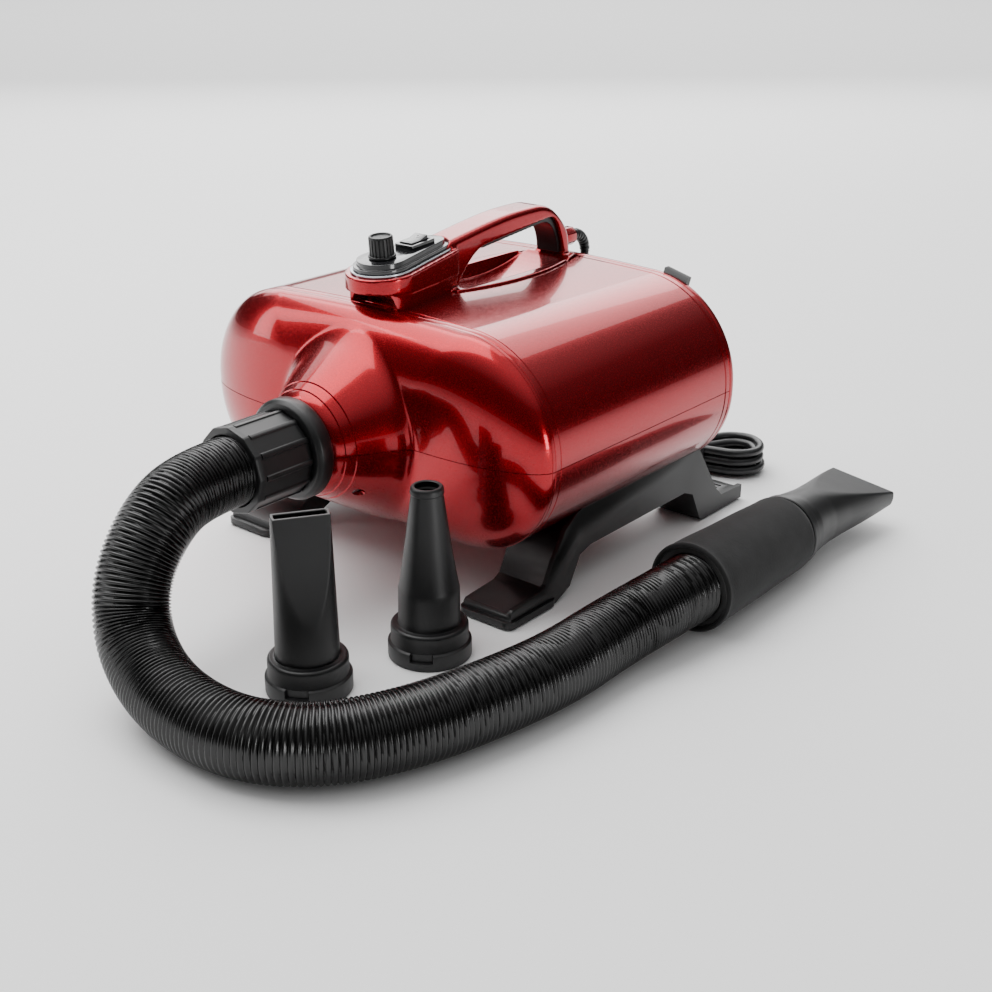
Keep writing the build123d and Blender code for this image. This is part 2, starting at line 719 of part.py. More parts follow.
with BuildPart() as handle_frame:
    add(bar_solid)
    fillet(handle_frame.edges().filter_by(on_bar_corner), BAR_ROUND)
    add(pod_cut)
    add(column & column_keep)
    add(dish)
    add(panel_room, mode=Mode.SUBTRACT)
    add(pod_pocket, mode=Mode.SUBTRACT)
    add(arch, mode=Mode.SUBTRACT)
    add(arch_floor, mode=Mode.SUBTRACT)
    with BuildSketch(POD_PLANE):
        Circle(4.2)
        with Locations((0, 31)):
            Rectangle(14, 20)
    extrude(amount=-20, mode=Mode.SUBTRACT)
    with BuildSketch(POD_PLANE.offset(-CONTROL_DEPTH)):
        Circle(CONTROL_R + CLEAR)
    extrude(amount=-CONTROL_T - CLEAR, mode=Mode.SUBTRACT)
    with BuildSketch(Plane.XY.offset(DISH_Z)):
        with Locations(*HANDLE_SCREWS):
            Circle(SCREW_R)
    extrude(amount=11, mode=Mode.SUBTRACT)
save(handle_frame, "handle_frame")

with BuildPart() as handle_screws:
    with BuildSketch(Plane.XY.offset(DISH_Z - 3)):
        with Locations(*HANDLE_SCREWS):
            Circle(SCREW_HEAD_R)
    extrude(amount=3)
    with BuildSketch(Plane.XY.offset(DISH_Z)):
        with Locations(*HANDLE_SCREWS):
            Circle(SCREW_R)
    extrude(amount=10)
save(handle_screws, "handle_screws")

INSERT_T = 2.6
INSERT_HALF = 9.5


def insert_path(drop):
    """The underside of the bar and the front of the rear leg, moved inwards by drop."""
    with BuildLine() as path:
        Line((-20, BAR_FRONT_BOTTOM - 0.8 - drop), (46, BAR_BOTTOM - 0.7 - drop))
        Spline(
            (46, BAR_BOTTOM - 0.7 - drop),
            (64.0 - drop, 201),
            (LEG_FRONT_Y - 3.1 - drop, BODY_TOP + 3),
            tangents=[(1, 0.1), (0.05, -1)],
        )
    return path.line


with BuildSketch(Plane.YZ) as insert_side:
    with BuildLine():
        add(insert_path(INSERT_T))
        add(insert_path(-3.0))
        Line((-20, BAR_FRONT_BOTTOM - 0.8 - INSERT_T), (-20, BAR_FRONT_BOTTOM - 0.8 + 3.0))
        Line((LEG_FRONT_Y - 3.1 - INSERT_T, BODY_TOP + 3), (LEG_FRONT_Y - 3.1 + 3.0, BODY_TOP + 3))
    make_face()
insert_block = extrude(insert_side.sketch, amount=INSERT_HALF, both=True)

with BuildPart() as grip_insert:
    add(insert_block)
    add(handle_frame.part, mode=Mode.SUBTRACT)
save(grip_insert, "grip_insert")


with BuildPart() as panel_trim:
    add(trim_plate)
    add(lower_plate, mode=Mode.SUBTRACT)
save(panel_trim, "panel_trim")

with BuildPart() as control_panel:
    add(lower_plate)
    add(upper_plate)
    with BuildSketch(POD_PLANE.offset(PANEL_TOP)):
        Circle(3.6)
        with Locations((0, ROCKER_AT)):
            Rectangle(14, 20)
    extrude(amount=-PANEL_TOP, mode=Mode.SUBTRACT)
save(control_panel, "control_panel")

KNOB_R = 8.2
KNOB_H = 14.0
KNOB_GAP = 0.4

with BuildPart() as speed_knob:
    with BuildSketch(POD_PLANE.offset(PANEL_TOP + KNOB_GAP)):
        Circle(KNOB_R)
        with PolarLocations(KNOB_R + 0.5, 20):
            Circle(0.9, mode=Mode.SUBTRACT)
    extrude(amount=KNOB_H - 1)
    with BuildSketch(POD_PLANE.offset(PANEL_TOP + KNOB_GAP)):
        Circle(KNOB_R - 0.6)
    extrude(amount=KNOB_H)
    with BuildSketch(POD_PLANE.offset(PANEL_TOP + KNOB_GAP)):
        Circle(KNOB_R + 0.9)
    extrude(amount=1.6)
    with BuildSketch(POD_PLANE.offset(PANEL_TOP + KNOB_GAP)):
        Circle(3.0)
    extrude(amount=-14)
save(speed_knob, "speed_knob")

with BuildPart() as speed_control:
    with BuildSketch(POD_PLANE.offset(-CONTROL_DEPTH)):
        Circle(CONTROL_R)
        Circle(3.05, mode=Mode.SUBTRACT)
    extrude(amount=-CONTROL_T)
save(speed_control, "speed_control")

ROCKER_TILT = 7.0
BEZEL_H = 3.0
ROCKER_BASE = POD_PLANE.offset(PANEL_TOP)

with BuildPart() as rocker_bezel:
    with BuildSketch(ROCKER_BASE):
        with Locations((0, ROCKER_AT)):
            RectangleRounded(16, 22.6, 1.5)
            Rectangle(11.6, 18.6, mode=Mode.SUBTRACT)
    extrude(amount=BEZEL_H)
    with BuildSketch(ROCKER_BASE):
        with Locations((0, ROCKER_AT)):
            Rectangle(13.6, 19.6)
            Rectangle(11.6, 18.6, mode=Mode.SUBTRACT)
    extrude(amount=-9)
save(rocker_bezel, "rocker_bezel")

ROCKER_PIVOT = ROCKER_BASE.from_local_coords((0, ROCKER_AT, -2.0))
ROCKER_PLANE = Plane(origin=ROCKER_PIVOT, x_dir=(1, 0, 0), z_dir=PANEL_UP).rotated((ROCKER_TILT, 0, 0))

with BuildPart() as power_rocker:
    with BuildSketch(Plane(origin=ROCKER_PIVOT, x_dir=ROCKER_PLANE.y_dir, z_dir=(1, 0, 0))):
        with BuildLine():
            Polyline((-7.8, -2), (-7.8, 7.0), (0, 5.8), (7.8, 7.0), (7.8, -2), close=True)
        make_face()
        Circle(3.0)
    extrude(amount=5.3, both=True)
save(power_rocker, "power_rocker")

with BuildPart() as switch_body:
    with BuildSketch(POD_PLANE.offset(PANEL_TOP - 9.2)):
        with Locations((0, ROCKER_AT)):
            Rectangle(13.4, 19.4)
    extrude(amount=-10)
save(switch_body, "switch_body")

with BuildPart() as circuit_board:
    with Locations((0, -78, DISH_Z + 6)):
        Box(20, 36, 1.6)
save(circuit_board, "circuit_board")

# ---------------------------------------------------------------- cord boss and strain relief
RELIEF_R = 4.5
RELIEF_LEAD = 4.0

with BuildPart() as cord_boss:
    with BuildSketch(along_y(LEG_REAR_Y - 8)):
        with Locations((0, BOSS_Z)):
            RegularPolygon(6.6, 8, major_radius=False, rotation=22.5)
    extrude(amount=-(BOSS_END_Y - LEG_REAR_Y + 8))
    add(handle_frame.part, mode=Mode.SUBTRACT)
save(cord_boss, "cord_boss")

with BuildPart() as strain_relief:
    with BuildLine(Plane.YZ) as relief_path:
        Line((BOSS_END_Y, BOSS_Z), (BOSS_END_Y + RELIEF_LEAD, BOSS_Z))
        JernArc((BOSS_END_Y + RELIEF_LEAD, BOSS_Z), (1, 0), RELIEF_BEND, -90)
    with BuildSketch(Plane(origin=(0, BOSS_END_Y, BOSS_Z), z_dir=(0, 1, 0))):
        Circle(RELIEF_R)
    sweep()
save(strain_relief, "strain_relief")

# ---------------------------------------------------------------- foot rails
casing_clear = prism(-180, 180)
BRIDGE_Z = 30.5             # underside of the raised bridge between the two feet


def rail_profile(top_drop):
    """Side view of a foot rail: front foot, raised bridge and rear foot."""
    with BuildSketch(Plane.YZ) as side:
        with BuildLine():
            Polyline(
                (-RAIL_HALF_LEN + 4, PAD_T),
                (-91, PAD_T),
                (-76, 8),
                (-65, 27),
                (-54, BRIDGE_Z),
                (60, BRIDGE_Z),
                (71, 26),
                (82, PAD_T + 3),
                (85, PAD_T),
                (RAIL_HALF_LEN, PAD_T),
                (RAIL_HALF_LEN, 12 - top_drop),
                (112, 13 - top_drop),
                (104, 20 - top_drop),
                (78, 58 - top_drop),
                (72, 62 - top_drop),
                (-54, 62 - top_drop),
                (-69, 58 - top_drop),
                (-81, 50 - top_drop),
                (-94, 31 - top_drop),
                (-101, 18 - top_drop),
                (-107, 15 - top_drop),
                (-RAIL_HALF_LEN + 6, 13 - top_drop),
                (-RAIL_HALF_LEN + 4, 11 - top_drop),
                close=True,
            )
        make_face()
    return side.sketch


strap = Pos(RAIL_INNER_X, 0, 0) * extrude(rail_profile(2.5), amount=RAIL_X - 3.4 - RAIL_INNER_X)
outer_wall = Pos(RAIL_X - 3.4, 0, 0) * extrude(rail_profile(0.0), amount=3.4)

for side, sign in {"left": -1, "right": 1}.items():
    with BuildPart() as foot_rail:
        add(strap)
        add(outer_wall)
        with BuildSketch(Plane.XY.offset(PAD_T)):
            with Locations(((RAIL_INNER_X + RAIL_X) / 2, -RAIL_HALF_LEN + 25)):
                RectangleRounded(RAIL_X - RAIL_INNER_X + 2 * RAIL_FLANGE, 50, 6)
        extrude(amount=4.5)
        with Locations((RAIL_INNER_X + 18, 127, 13)):
            with GridLocations(0, 6, 1, 3):
                Box(16, 2.2, 10, mode=Mode.SUBTRACT)
        with Locations((RAIL_INNER_X + 18, -RAIL_HALF_LEN + 6, 13)):
            with GridLocations(8, 0, 3, 1):
                Box(2.0, 14, 4, mode=Mode.SUBTRACT)
        add(casing_clear, mode=Mode.SUBTRACT)
        with BuildSketch(Plane.XY.offset(BRIDGE_Z - 5)):
            with Locations(*[spot for spot in RAIL_SCREWS if spot[0] > 0]):
                Circle(SCREW_R)
        extrude(amount=40, mode=Mode.SUBTRACT)
        if sign < 0:
            mirror(about=Plane.YZ, mode=Mode.REPLACE)
    save(foot_rail, "foot_rail_" + side)

with BuildPart() as rail_screws:
    with BuildSketch(Plane.XY.offset(BRIDGE_Z - 3)):
        with Locations(*RAIL_SCREWS):
            Circle(SCREW_HEAD_R)
    extrude(amount=3)
    with BuildSketch(Plane.XY.offset(BRIDGE_Z)):
        with Locations(*RAIL_SCREWS):
            Circle(SCREW_R)
    extrude(amount=21)
save(rail_screws, "rail_screws")

PAD_Y = 113.0
PAD_X = (RAIL_INNER_X + RAIL_X) / 2

with BuildPart() as rubber_pads:
    for sign in (-1, 1):
        with Locations((sign * PAD_X, -PAD_Y, 0), (sign * PAD_X, PAD_Y, 0)):
            Cylinder(9, PAD_T, align=(Align.CENTER, Align.CENTER, Align.MIN))
save(rubber_pads, "rubber_pads")

# ---------------------------------------------------------------- cords: shared helpers
def cord_radii(points):
    """Bend radii for a cord: as large as the two runs at each corner allow."""
    spots = [Vector(*point) for point in points]
    radii = []
    for before, here, after in zip(spots, spots[1:], spots[2:]):
        run_in = here - before
        run_out = after - here
        half_turn = math.radians(run_in.get_angle(run_out)) / 2
        radii.append(0.45 * min(run_in.length, run_out.length) / math.tan(half_turn))
    return radii


def cord_tube(name, points, radius, bore=0.0):
    """A tube of straight runs and tangent arcs through the route, written as a node."""
    radii = cord_radii(points)
    with BuildPart() as tube:
        with BuildLine() as route:
            FilletPolyline(*points, radius=radii)
        with BuildSketch(Plane(origin=points[0], z_dir=route.line % 0)):
            Circle(radius)
            if bore:
                Circle(bore, mode=Mode.SUBTRACT)
        sweep()
    length = sum(edge.length for edge in route.edges())
    expected = math.pi * (radius ** 2 - bore ** 2) * length
    print(name, "length", round(length, 1), "volume / section x length", round(tube.part.volume / expected, 4))
    print(name, "radii", [round(value, 1) for value in radii])
    save(tube, name)


# ---------------------------------------------------------------- hose
HOSE_ROUTE = [
    (0, CUFF_END_Y, AXIS_Z),
    (0, -271, AXIS_Z),
    (8, -303, 101),
    (11, -328, 74),
    (19, -338, 44),
    (46, -347, 27),
    (85, -354, 22.4),
    (127, -352, 22.3),
    (162, -330, 22.3),
    (185, -289, 22.3),
    (199, -238, 22.3),
    (207, -186, 22.3),
    (206, -136, 22.6),
    tuple(GRIP.origin - GRIP.z_dir * 26),
    tuple(GRIP.origin + GRIP.z_dir * COLLAR_LEN),
]
cord_tube("hose", HOSE_ROUTE, HOSE_R, HOSE_R - HOSE_WALL)

# ---------------------------------------------------------------- power cord, hank and plug
HANK_ANGLE = 39.7           # the hank lies at this angle from +X
HANK_LENGTH = 112.0
HANK_WIDTH = 54.0
HANK_WAIST = 32.0
HANK_TOP = 25.0
HANK_BOTTOM = 0.1
TIE_WIDTH = 8.0
TIE_T = 1.8
HANK = Plane(origin=(70, 172, 0), x_dir=Vector(1, 0, 0).rotate(Axis.Z, HANK_ANGLE), z_dir=(0, 0, 1))


def on_hank(along, across, height):
    """A point given along and across the hank and above the floor."""
    return tuple(HANK.from_local_coords((along, across, height)))


tie_height = HANK_TOP - HANK_BOTTOM
tie_middle = (HANK_TOP + HANK_BOTTOM) / 2
tie_outside = HANK.location * Pos(0, 0, tie_middle) * Box(TIE_WIDTH, HANK_WAIST + 2 * TIE_T, tie_height)
tie_inside = HANK.location * Pos(0, 0, tie_middle) * Box(TIE_WIDTH, HANK_WAIST, tie_height - 2 * TIE_T)
tie_slot = HANK.location * Pos(0, 0, tie_middle) * Box(TIE_WIDTH, HANK_WIDTH, tie_height)

with BuildPart() as cord_hank:
    with BuildSketch(HANK.offset(HANK_BOTTOM)):
        RectangleRounded(HANK_LENGTH, HANK_WIDTH, 20)
        with Locations((0, HANK_WAIST / 2 + 22), (0, -HANK_WAIST / 2 - 22)):
            Circle(22, mode=Mode.SUBTRACT)
    extrude(amount=tie_height)
    add(tie_slot, mode=Mode.SUBTRACT)
    add(tie_inside)
save(cord_hank, "cord_hank")

with BuildPart() as cord_tie:
    add(tie_outside)
    add(tie_inside, mode=Mode.SUBTRACT)
save(cord_tie, "cord_tie")

CORD_ROUTE = [
    (0, BOSS_END_Y + RELIEF_LEAD + RELIEF_BEND, BOSS_Z - RELIEF_BEND),
    (0, 112, 150),
    (-5, 114, 122),
    (-13, 114, 94),
    (-16, 112, 66),
    (-12, 111, 39),
    (-2, 114, 22),
    on_hank(-HANK_LENGTH / 2 - 20, -3.4, 13),
    on_hank(-HANK_LENGTH / 2, -3.4, 13),
]
cord_tube("power_cord", CORD_ROUTE, CORD_R)

PLUG_ACROSS = 64.0
PLUG_Z = 11.1
LEAD_ROUTE = [
    on_hank(-56, 3.6, 3.4),
    on_hank(-81, 3.6, 3.4),
    on_hank(-98.7, 21.3, 3.4),
    on_hank(-98.7, 46.3, 6),
    on_hank(-81, PLUG_ACROSS, PLUG_Z),
    on_hank(-56, PLUG_ACROSS, PLUG_Z),
]
cord_tube("plug_lead", LEAD_ROUTE, CORD_R)

PLUG_PLANE = Plane(origin=on_hank(-56, PLUG_ACROSS, PLUG_Z), x_dir=(0, 0, 1), z_dir=HANK.x_dir)
PLUG_LENGTH = 42.0

with BuildPart() as plug_body:
    with BuildSketch(PLUG_PLANE):
        Circle(5.5)
    extrude(amount=16)
    with BuildSketch(PLUG_PLANE.offset(12)):
        RectangleRounded(17, 20, 5)
    with BuildSketch(PLUG_PLANE.offset(PLUG_LENGTH)):
        RectangleRounded(21.6, 27, 6)
    loft()
save(plug_body, "plug_body")

with BuildPart() as plug_pins:
    with BuildSketch(PLUG_PLANE.offset(PLUG_LENGTH)):
        with Locations((3, 6.35), (3, -6.35)):
            Rectangle(6.3, 1.5)
        with Locations((-5, 0)):
            Circle(2.4)
    extrude(amount=17)
save(plug_pins, "plug_pins")
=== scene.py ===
"""Looks of a twin-motor pet dryer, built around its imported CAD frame.

Lengths are in millimetres until a mesh is made, which is in metres in the frame's own axes:
+X the dryer's right side, -Y its outlet end, +Z up, origin on the floor between its four feet.
"""

import json
import logging
import math
from dataclasses import dataclass
from enum import Enum
from typing import Any, Callable, Iterable, Sequence

import bmesh
import bpy
import numpy as np
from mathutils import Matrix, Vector

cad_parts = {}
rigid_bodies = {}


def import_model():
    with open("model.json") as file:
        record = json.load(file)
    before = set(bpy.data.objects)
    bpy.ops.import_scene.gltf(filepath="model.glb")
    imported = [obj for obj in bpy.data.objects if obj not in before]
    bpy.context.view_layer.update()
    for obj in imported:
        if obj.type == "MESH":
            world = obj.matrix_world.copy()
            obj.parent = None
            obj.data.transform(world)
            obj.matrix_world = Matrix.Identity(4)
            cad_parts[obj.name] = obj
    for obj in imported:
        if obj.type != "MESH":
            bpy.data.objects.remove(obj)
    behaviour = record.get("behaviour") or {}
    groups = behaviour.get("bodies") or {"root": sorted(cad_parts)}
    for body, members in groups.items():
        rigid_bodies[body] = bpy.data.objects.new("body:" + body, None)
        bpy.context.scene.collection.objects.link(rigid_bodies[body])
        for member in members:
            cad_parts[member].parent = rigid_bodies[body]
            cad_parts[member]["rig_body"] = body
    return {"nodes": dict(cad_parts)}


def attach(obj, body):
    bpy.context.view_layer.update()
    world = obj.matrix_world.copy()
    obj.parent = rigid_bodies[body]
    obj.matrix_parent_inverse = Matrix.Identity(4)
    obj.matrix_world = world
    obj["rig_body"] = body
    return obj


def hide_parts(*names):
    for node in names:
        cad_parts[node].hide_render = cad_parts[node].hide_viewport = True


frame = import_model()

MM = 0.001
LOG = logging.getLogger("pet_dryer")
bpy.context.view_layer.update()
ROOT = "casing"

Point = tuple[float, float, float]
Links = dict[Any, Any]


# ---------------------------------------------------------------- small helpers
def linear(hex_colour: str) -> tuple[float, float, float, float]:
    """Turns an sRGB hex colour into a linear one.

    Args:
        hex_colour: Six hex digits, with or without a leading hash.

    Returns:
        Linear red, green, blue and an alpha of 1.
    """
    digits = hex_colour.lstrip("#")
    values = []
    for start in (0, 2, 4):
        share = int(digits[start:start + 2], 16) / 255
        values.append(share / 12.92 if share <= 0.04045 else ((share + 0.055) / 1.055) ** 2.4)
    return (values[0], values[1], values[2], 1.0)


def add_node(tree: bpy.types.NodeTree, kind: str, settings: Links | None = None,
             links: Links | None = None) -> Any:
    """Adds a shader node with its settings and links.

    Args:
        tree: The node tree that gets the node.
        kind: Blender's node type.
        settings: Attributes of the node, or values of its inputs by name or number.
        links: Output sockets by the input, named or numbered, that each one feeds.

    Returns:
        The new node.
    """
    item = tree.nodes.new(kind)
    for key, value in (settings or {}).items():
        if isinstance(key, str) and hasattr(item, key):
            setattr(item, key, value)
        else:
            item.inputs[key].default_value = value
    for key, socket in (links or {}).items():
        tree.links.new(socket, item.inputs[key])
    return item


def make_object(name: str, points: Sequence[Point] | np.ndarray,
                faces: Iterable[Sequence[int]]) -> bpy.types.Object:
    """Makes a mesh object from points in millimetres.

    Args:
        name: The piece's name.
        points: Corners in millimetres.
        faces: Corner numbers of each face.

    Returns:
        The new object, linked to the scene.
    """
    mesh = bpy.data.meshes.new(name)
    mesh.from_pydata([tuple(float(v) * MM for v in point) for point in points], [], [list(f) for f in faces])
    mesh.update()
    item = bpy.data.objects.new(name, mesh)
    bpy.context.scene.collection.objects.link(item)
    return item


def grid_faces(rows: int, columns: int, wrap: bool = True) -> list[tuple[int, int, int, int]]:
    """Faces of a grid of points, row after row.

    Args:
        rows: Number of rows.
        columns: Points in a row.
        wrap: Whether the last column joins the first.

    Returns:
        Four corner numbers for each face.
    """
    faces = []
    last = columns if wrap else columns - 1
    for row in range(rows - 1):
        for column in range(last):
            side = (column + 1) % columns
            faces.append((
                row * columns + column,
                row * columns + side,
                (row + 1) * columns + side,
                (row + 1) * columns + column,
            ))
    return faces


def capped_faces(rows: int, columns: int) -> list[Sequence[int]]:
    """Faces of a grid that goes round, with a cap on its first and last row."""
    faces: list[Sequence[int]] = list(grid_faces(rows, columns))
    last = (rows - 1) * columns
    faces += [range(columns - 1, -1, -1), range(last, last + columns)]
    return faces


def edit_mesh(item: bpy.types.Object, action: Callable[[bmesh.types.BMesh], None]) -> None:
    """Runs an action on an object's mesh through bmesh."""
    work = bmesh.new()
    work.from_mesh(item.data)
    action(work)
    work.to_mesh(item.data)
    work.free()
    item.data.update()


def outward(work: bmesh.types.BMesh) -> None:
    """Merges doubled corners and turns every face outwards."""
    bmesh.ops.remove_doubles(work, verts=work.verts, dist=0.00001)
    bmesh.ops.recalc_face_normals(work, faces=work.faces)


def smooth(item: bpy.types.Object, sharp_degrees: float = 35.0) -> None:
    """Shades an object smooth, with edges over the given angle kept crisp."""
    edit_mesh(item, outward)
    item.data.shade_smooth()
    item.data.set_sharp_from_angle(angle=math.radians(sharp_degrees))


def apply_modifier(item: bpy.types.Object, kind: str, **settings: Any) -> None:
    """Adds a modifier, gives it its settings and applies it to the mesh."""
    modifier = item.modifiers.new(kind.lower(), kind)
    for key, value in settings.items():
        setattr(modifier, key, value)
    depsgraph = bpy.context.evaluated_depsgraph_get()
    result = bpy.data.meshes.new_from_object(item.evaluated_get(depsgraph))
    item.modifiers.clear()
    old = item.data
    item.data = result
    bpy.data.meshes.remove(old)


def cut_away(item: bpy.types.Object, tool: bpy.types.Object) -> None:
    """Subtracts a tool solid from an object and deletes the tool."""
    apply_modifier(item, "BOOLEAN", object=tool, operation="DIFFERENCE", solver="EXACT")
    bpy.data.objects.remove(tool)


def dress(item: bpy.types.Object, material: bpy.types.Material) -> None:
    """Gives an object one material."""
    item.data.materials.clear()
    item.data.materials.append(material)


def copy_node(node: str, name: str) -> bpy.types.Object:
    """A new object with the shape of a CAD node, its flat faces joined up."""
    mesh = frame["nodes"][node].data.copy()
    item = bpy.data.objects.new(name, mesh)
    bpy.context.scene.collection.objects.link(item)
    edit_mesh(item, outward)
    return item


def soften_edges(node: str, width: float, segments: int = 3, angle: float = 28.0) -> bpy.types.Object:
    """A moulded copy of a CAD node, with a small radius on each sharp edge.

    Args:
        node: The CAD node, which the copy replaces.
        width: The radius in millimetres.
        segments: Steps round the radius.
        angle: Edges sharper than this many degrees are rounded.

    Returns:
        The copy, in place and riding on the node's body.
    """
    item = copy_node(node, node + "_moulded")

    def join_flats(work: bmesh.types.BMesh) -> None:
        bmesh.ops.dissolve_limit(work, angle_limit=math.radians(0.6), verts=work.verts, edges=work.edges)

    edit_mesh(item, join_flats)
    apply_modifier(
        item, "BEVEL", width=width * MM, segments=segments, limit_method="ANGLE",
        angle_limit=math.radians(angle), harden_normals=False, use_clamp_overlap=True,
    )
    smooth(item, 40)
    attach(item, frame["nodes"][node]["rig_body"])
    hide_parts(node)
    return item


def melt(node: str, voxel: float, rounds: int) -> bpy.types.Object:
    """A moulded copy of a CAD node whose edges run softly into each other.

    Args:
        node: The CAD node, which the copy replaces.
        voxel: Size of the new faces, in millimetres.
        rounds: How many times the surface is evened out.

    Returns:
        The copy, in place and riding on the node's body.
    """
    item = copy_node(node, node + "_moulded")
    apply_modifier(item, "REMESH", mode="VOXEL", voxel_size=voxel * MM, use_smooth_shade=True)
    apply_modifier(item, "SMOOTH", factor=0.5, iterations=rounds)
    item.data.shade_smooth()
    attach(item, frame["nodes"][node]["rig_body"])
    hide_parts(node)
    return item


# ---------------------------------------------------------------- finishes
@dataclass(frozen=True)
class Finish:
    """A material, made from what the real one is.

    Attributes:
        name: The material's name.
        colour: Main colour, sRGB hex.
        roughness: Roughness of the surface.
        slot: The record's material slot; not used.
    """

    name: str
    colour: str
    roughness: float
    slot: str

    def build(self) -> bpy.types.Material:
        """Makes the material once, and returns the same one each later time."""
        known = bpy.data.materials.get(self.name)
        if known:
            return known
        material = bpy.data.materials.new(self.name)
        material.use_nodes = True
        tree = material.node_tree
        shader = tree.nodes["Principled BSDF"]
        shader.inputs["Base Color"].default_value = linear(self.colour)
        shader.inputs["Roughness"].default_value = self.roughness
        material.diffuse_color = linear(self.colour)
        self.detail(tree, shader)
        return material

    def detail(self, tree: bpy.types.NodeTree, shader: bpy.types.Node) -> None:
        """Adds what this surface shows beyond its colour."""

    def grain(self, tree: bpy.types.NodeTree, shader: bpy.types.Node, size_mm: float, depth_mm: float,
              kind: str = "ShaderNodeTexNoise") -> Any:
        """Adds a fine relief whose grains have the given size and depth.

        Args:
            tree: The material's tree.
            shader: The shader that takes the relief.
            size_mm: Width of one grain.
            depth_mm: Height of one grain.
            kind: The texture node that draws it.

        Returns:
            The texture node.
        """
        place = add_node(tree, "ShaderNodeTexCoord")
        texture = add_node(tree, kind, {"Scale": 1 / (size_mm * MM)}, {"Vector": place.outputs["Object"]})
        height = texture.outputs["Fac"] if "Fac" in texture.outputs else texture.outputs["Distance"]
        relief = {"Strength": 1.0, "Distance": depth_mm * MM}
        bump = add_node(tree, "ShaderNodeBump", relief, {"Height": height})
        tree.links.new(bump.outputs["Normal"], shader.inputs["Normal"])
        return texture

    def mottle(self, tree: bpy.types.NodeTree, shader: bpy.types.Node, size_mm: float, second: str,
               rough: tuple[float, float]) -> None:
        """Adds soft patches of a second tone and of roughness, as handling leaves them.

        Args:
            tree: The material's tree.
            shader: The shader that takes them.
            size_mm: Width of one patch.
            second: The second tone, sRGB hex.
            rough: Lowest and highest roughness.
        """
        place = add_node(tree, "ShaderNodeTexCoord")
        patches = add_node(
            tree, "ShaderNodeTexNoise", {"Scale": 1 / (size_mm * MM), "Detail": 4.0},
            {"Vector": place.outputs["Object"]},
        )
        tones = add_node(tree, "ShaderNodeValToRGB", links={"Fac": patches.outputs["Fac"]})
        tones.color_ramp.elements[0].position = 0.35
        tones.color_ramp.elements[1].position = 0.68
        tones.color_ramp.elements[0].color = linear(self.colour)
        tones.color_ramp.elements[1].color = linear(second)
        tree.links.new(tones.outputs["Color"], shader.inputs["Base Color"])
        spread = add_node(
            tree, "ShaderNodeMapRange", {"To Min": rough[0], "To Max": rough[1]},
            {"Value": patches.outputs["Fac"]},
        )
        tree.links.new(spread.outputs["Result"], shader.inputs["Roughness"])


@dataclass(frozen=True)
class CandyLacquer(Finish):
    """ABS under a metallic base coat, a clear red coat and a polished top coat."""

    def detail(self, tree: bpy.types.NodeTree, shader: bpy.types.Node) -> None:
        """Metal flake under the red coat gives a deep, lively colour; the top coat mirrors the room."""
        shader.inputs["Metallic"].default_value = 0.85
        shader.inputs["Coat Weight"].default_value = 0.7
        shader.inputs["Coat Roughness"].default_value = 0.03
        shader.inputs["Coat IOR"].default_value = 1.4
        place = add_node(tree, "ShaderNodeTexCoord")
        flake_mm = 0.35     # real flake is near 0.05 mm; drawn coarser so that it shows at all
        flakes = add_node(
            tree, "ShaderNodeTexVoronoi", {"Scale": 1 / (flake_mm * MM)}, {"Vector": place.outputs["Object"]},
        )
        shade = add_node(tree, "ShaderNodeSeparateColor", links={"Color": flakes.outputs["Color"]})
        tones = add_node(tree, "ShaderNodeValToRGB", links={"Fac": shade.outputs["Red"]})
        tones.color_ramp.elements[0].color = linear("#92000F")
        tones.color_ramp.elements[1].color = linear("#A80016")
        tree.links.new(tones.outputs["Color"], shader.inputs["Base Color"])
        spread = add_node(
            tree, "ShaderNodeMapRange", {"To Min": self.roughness - 0.05, "To Max": self.roughness + 0.06},
            {"Value": shade.outputs["Green"]},
        )
        tree.links.new(spread.outputs["Result"], shader.inputs["Roughness"])


@dataclass(frozen=True)
class MouldedPlastic(Finish):
    """Moulded ABS or PVC with the fine spark-eroded grain of its mould.

    Attributes:
        grain_mm: Width of one grain.
        depth_mm: Height of one grain.
        second: Second tone of the soft patches.
    """

    grain_mm: float = 0.45
    depth_mm: float = 0.012
    second: str = "#232325"

    def detail(self, tree: bpy.types.NodeTree, shader: bpy.types.Node) -> None:
        """Grain breaks the highlights up; handling leaves slightly duller patches."""
        self.mottle(tree, shader, 38.0, self.second, (self.roughness - 0.05, self.roughness + 0.08))
        self.grain(tree, shader, self.grain_mm, self.depth_mm)


@dataclass(frozen=True)
class PolishedPlastic(Finish):
    """ABS from a polished mould, with a wet-looking surface."""

    def detail(self, tree: bpy.types.NodeTree, shader: bpy.types.Node) -> None:
        """Only faint dust and handling marks break the mirror."""
        shader.inputs["Coat Weight"].default_value = 0.6
        shader.inputs["Coat Roughness"].default_value = 0.06
        self.mottle(tree, shader, 22.0, "#1D1D20", (self.roughness - 0.04, self.roughness + 0.08))


@dataclass(frozen=True)
class KnittedFoam(Finish):
    """Neoprene foam under a thin nylon jersey, as on a wetsuit."""

    def detail(self, tree: bpy.types.NodeTree, shader: bpy.types.Node) -> None:
        """Fine loops and a soft nap give a dull, slightly dusty black."""
        shader.inputs["Sheen Weight"].default_value = 0.12
        shader.inputs["Sheen Roughness"].default_value = 0.5
        shader.inputs["Specular IOR Level"].default_value = 0.25
        self.mottle(tree, shader, 9.0, "#171718", (self.roughness - 0.04, self.roughness + 0.04))
        self.grain(tree, shader, 1.1, 0.16)


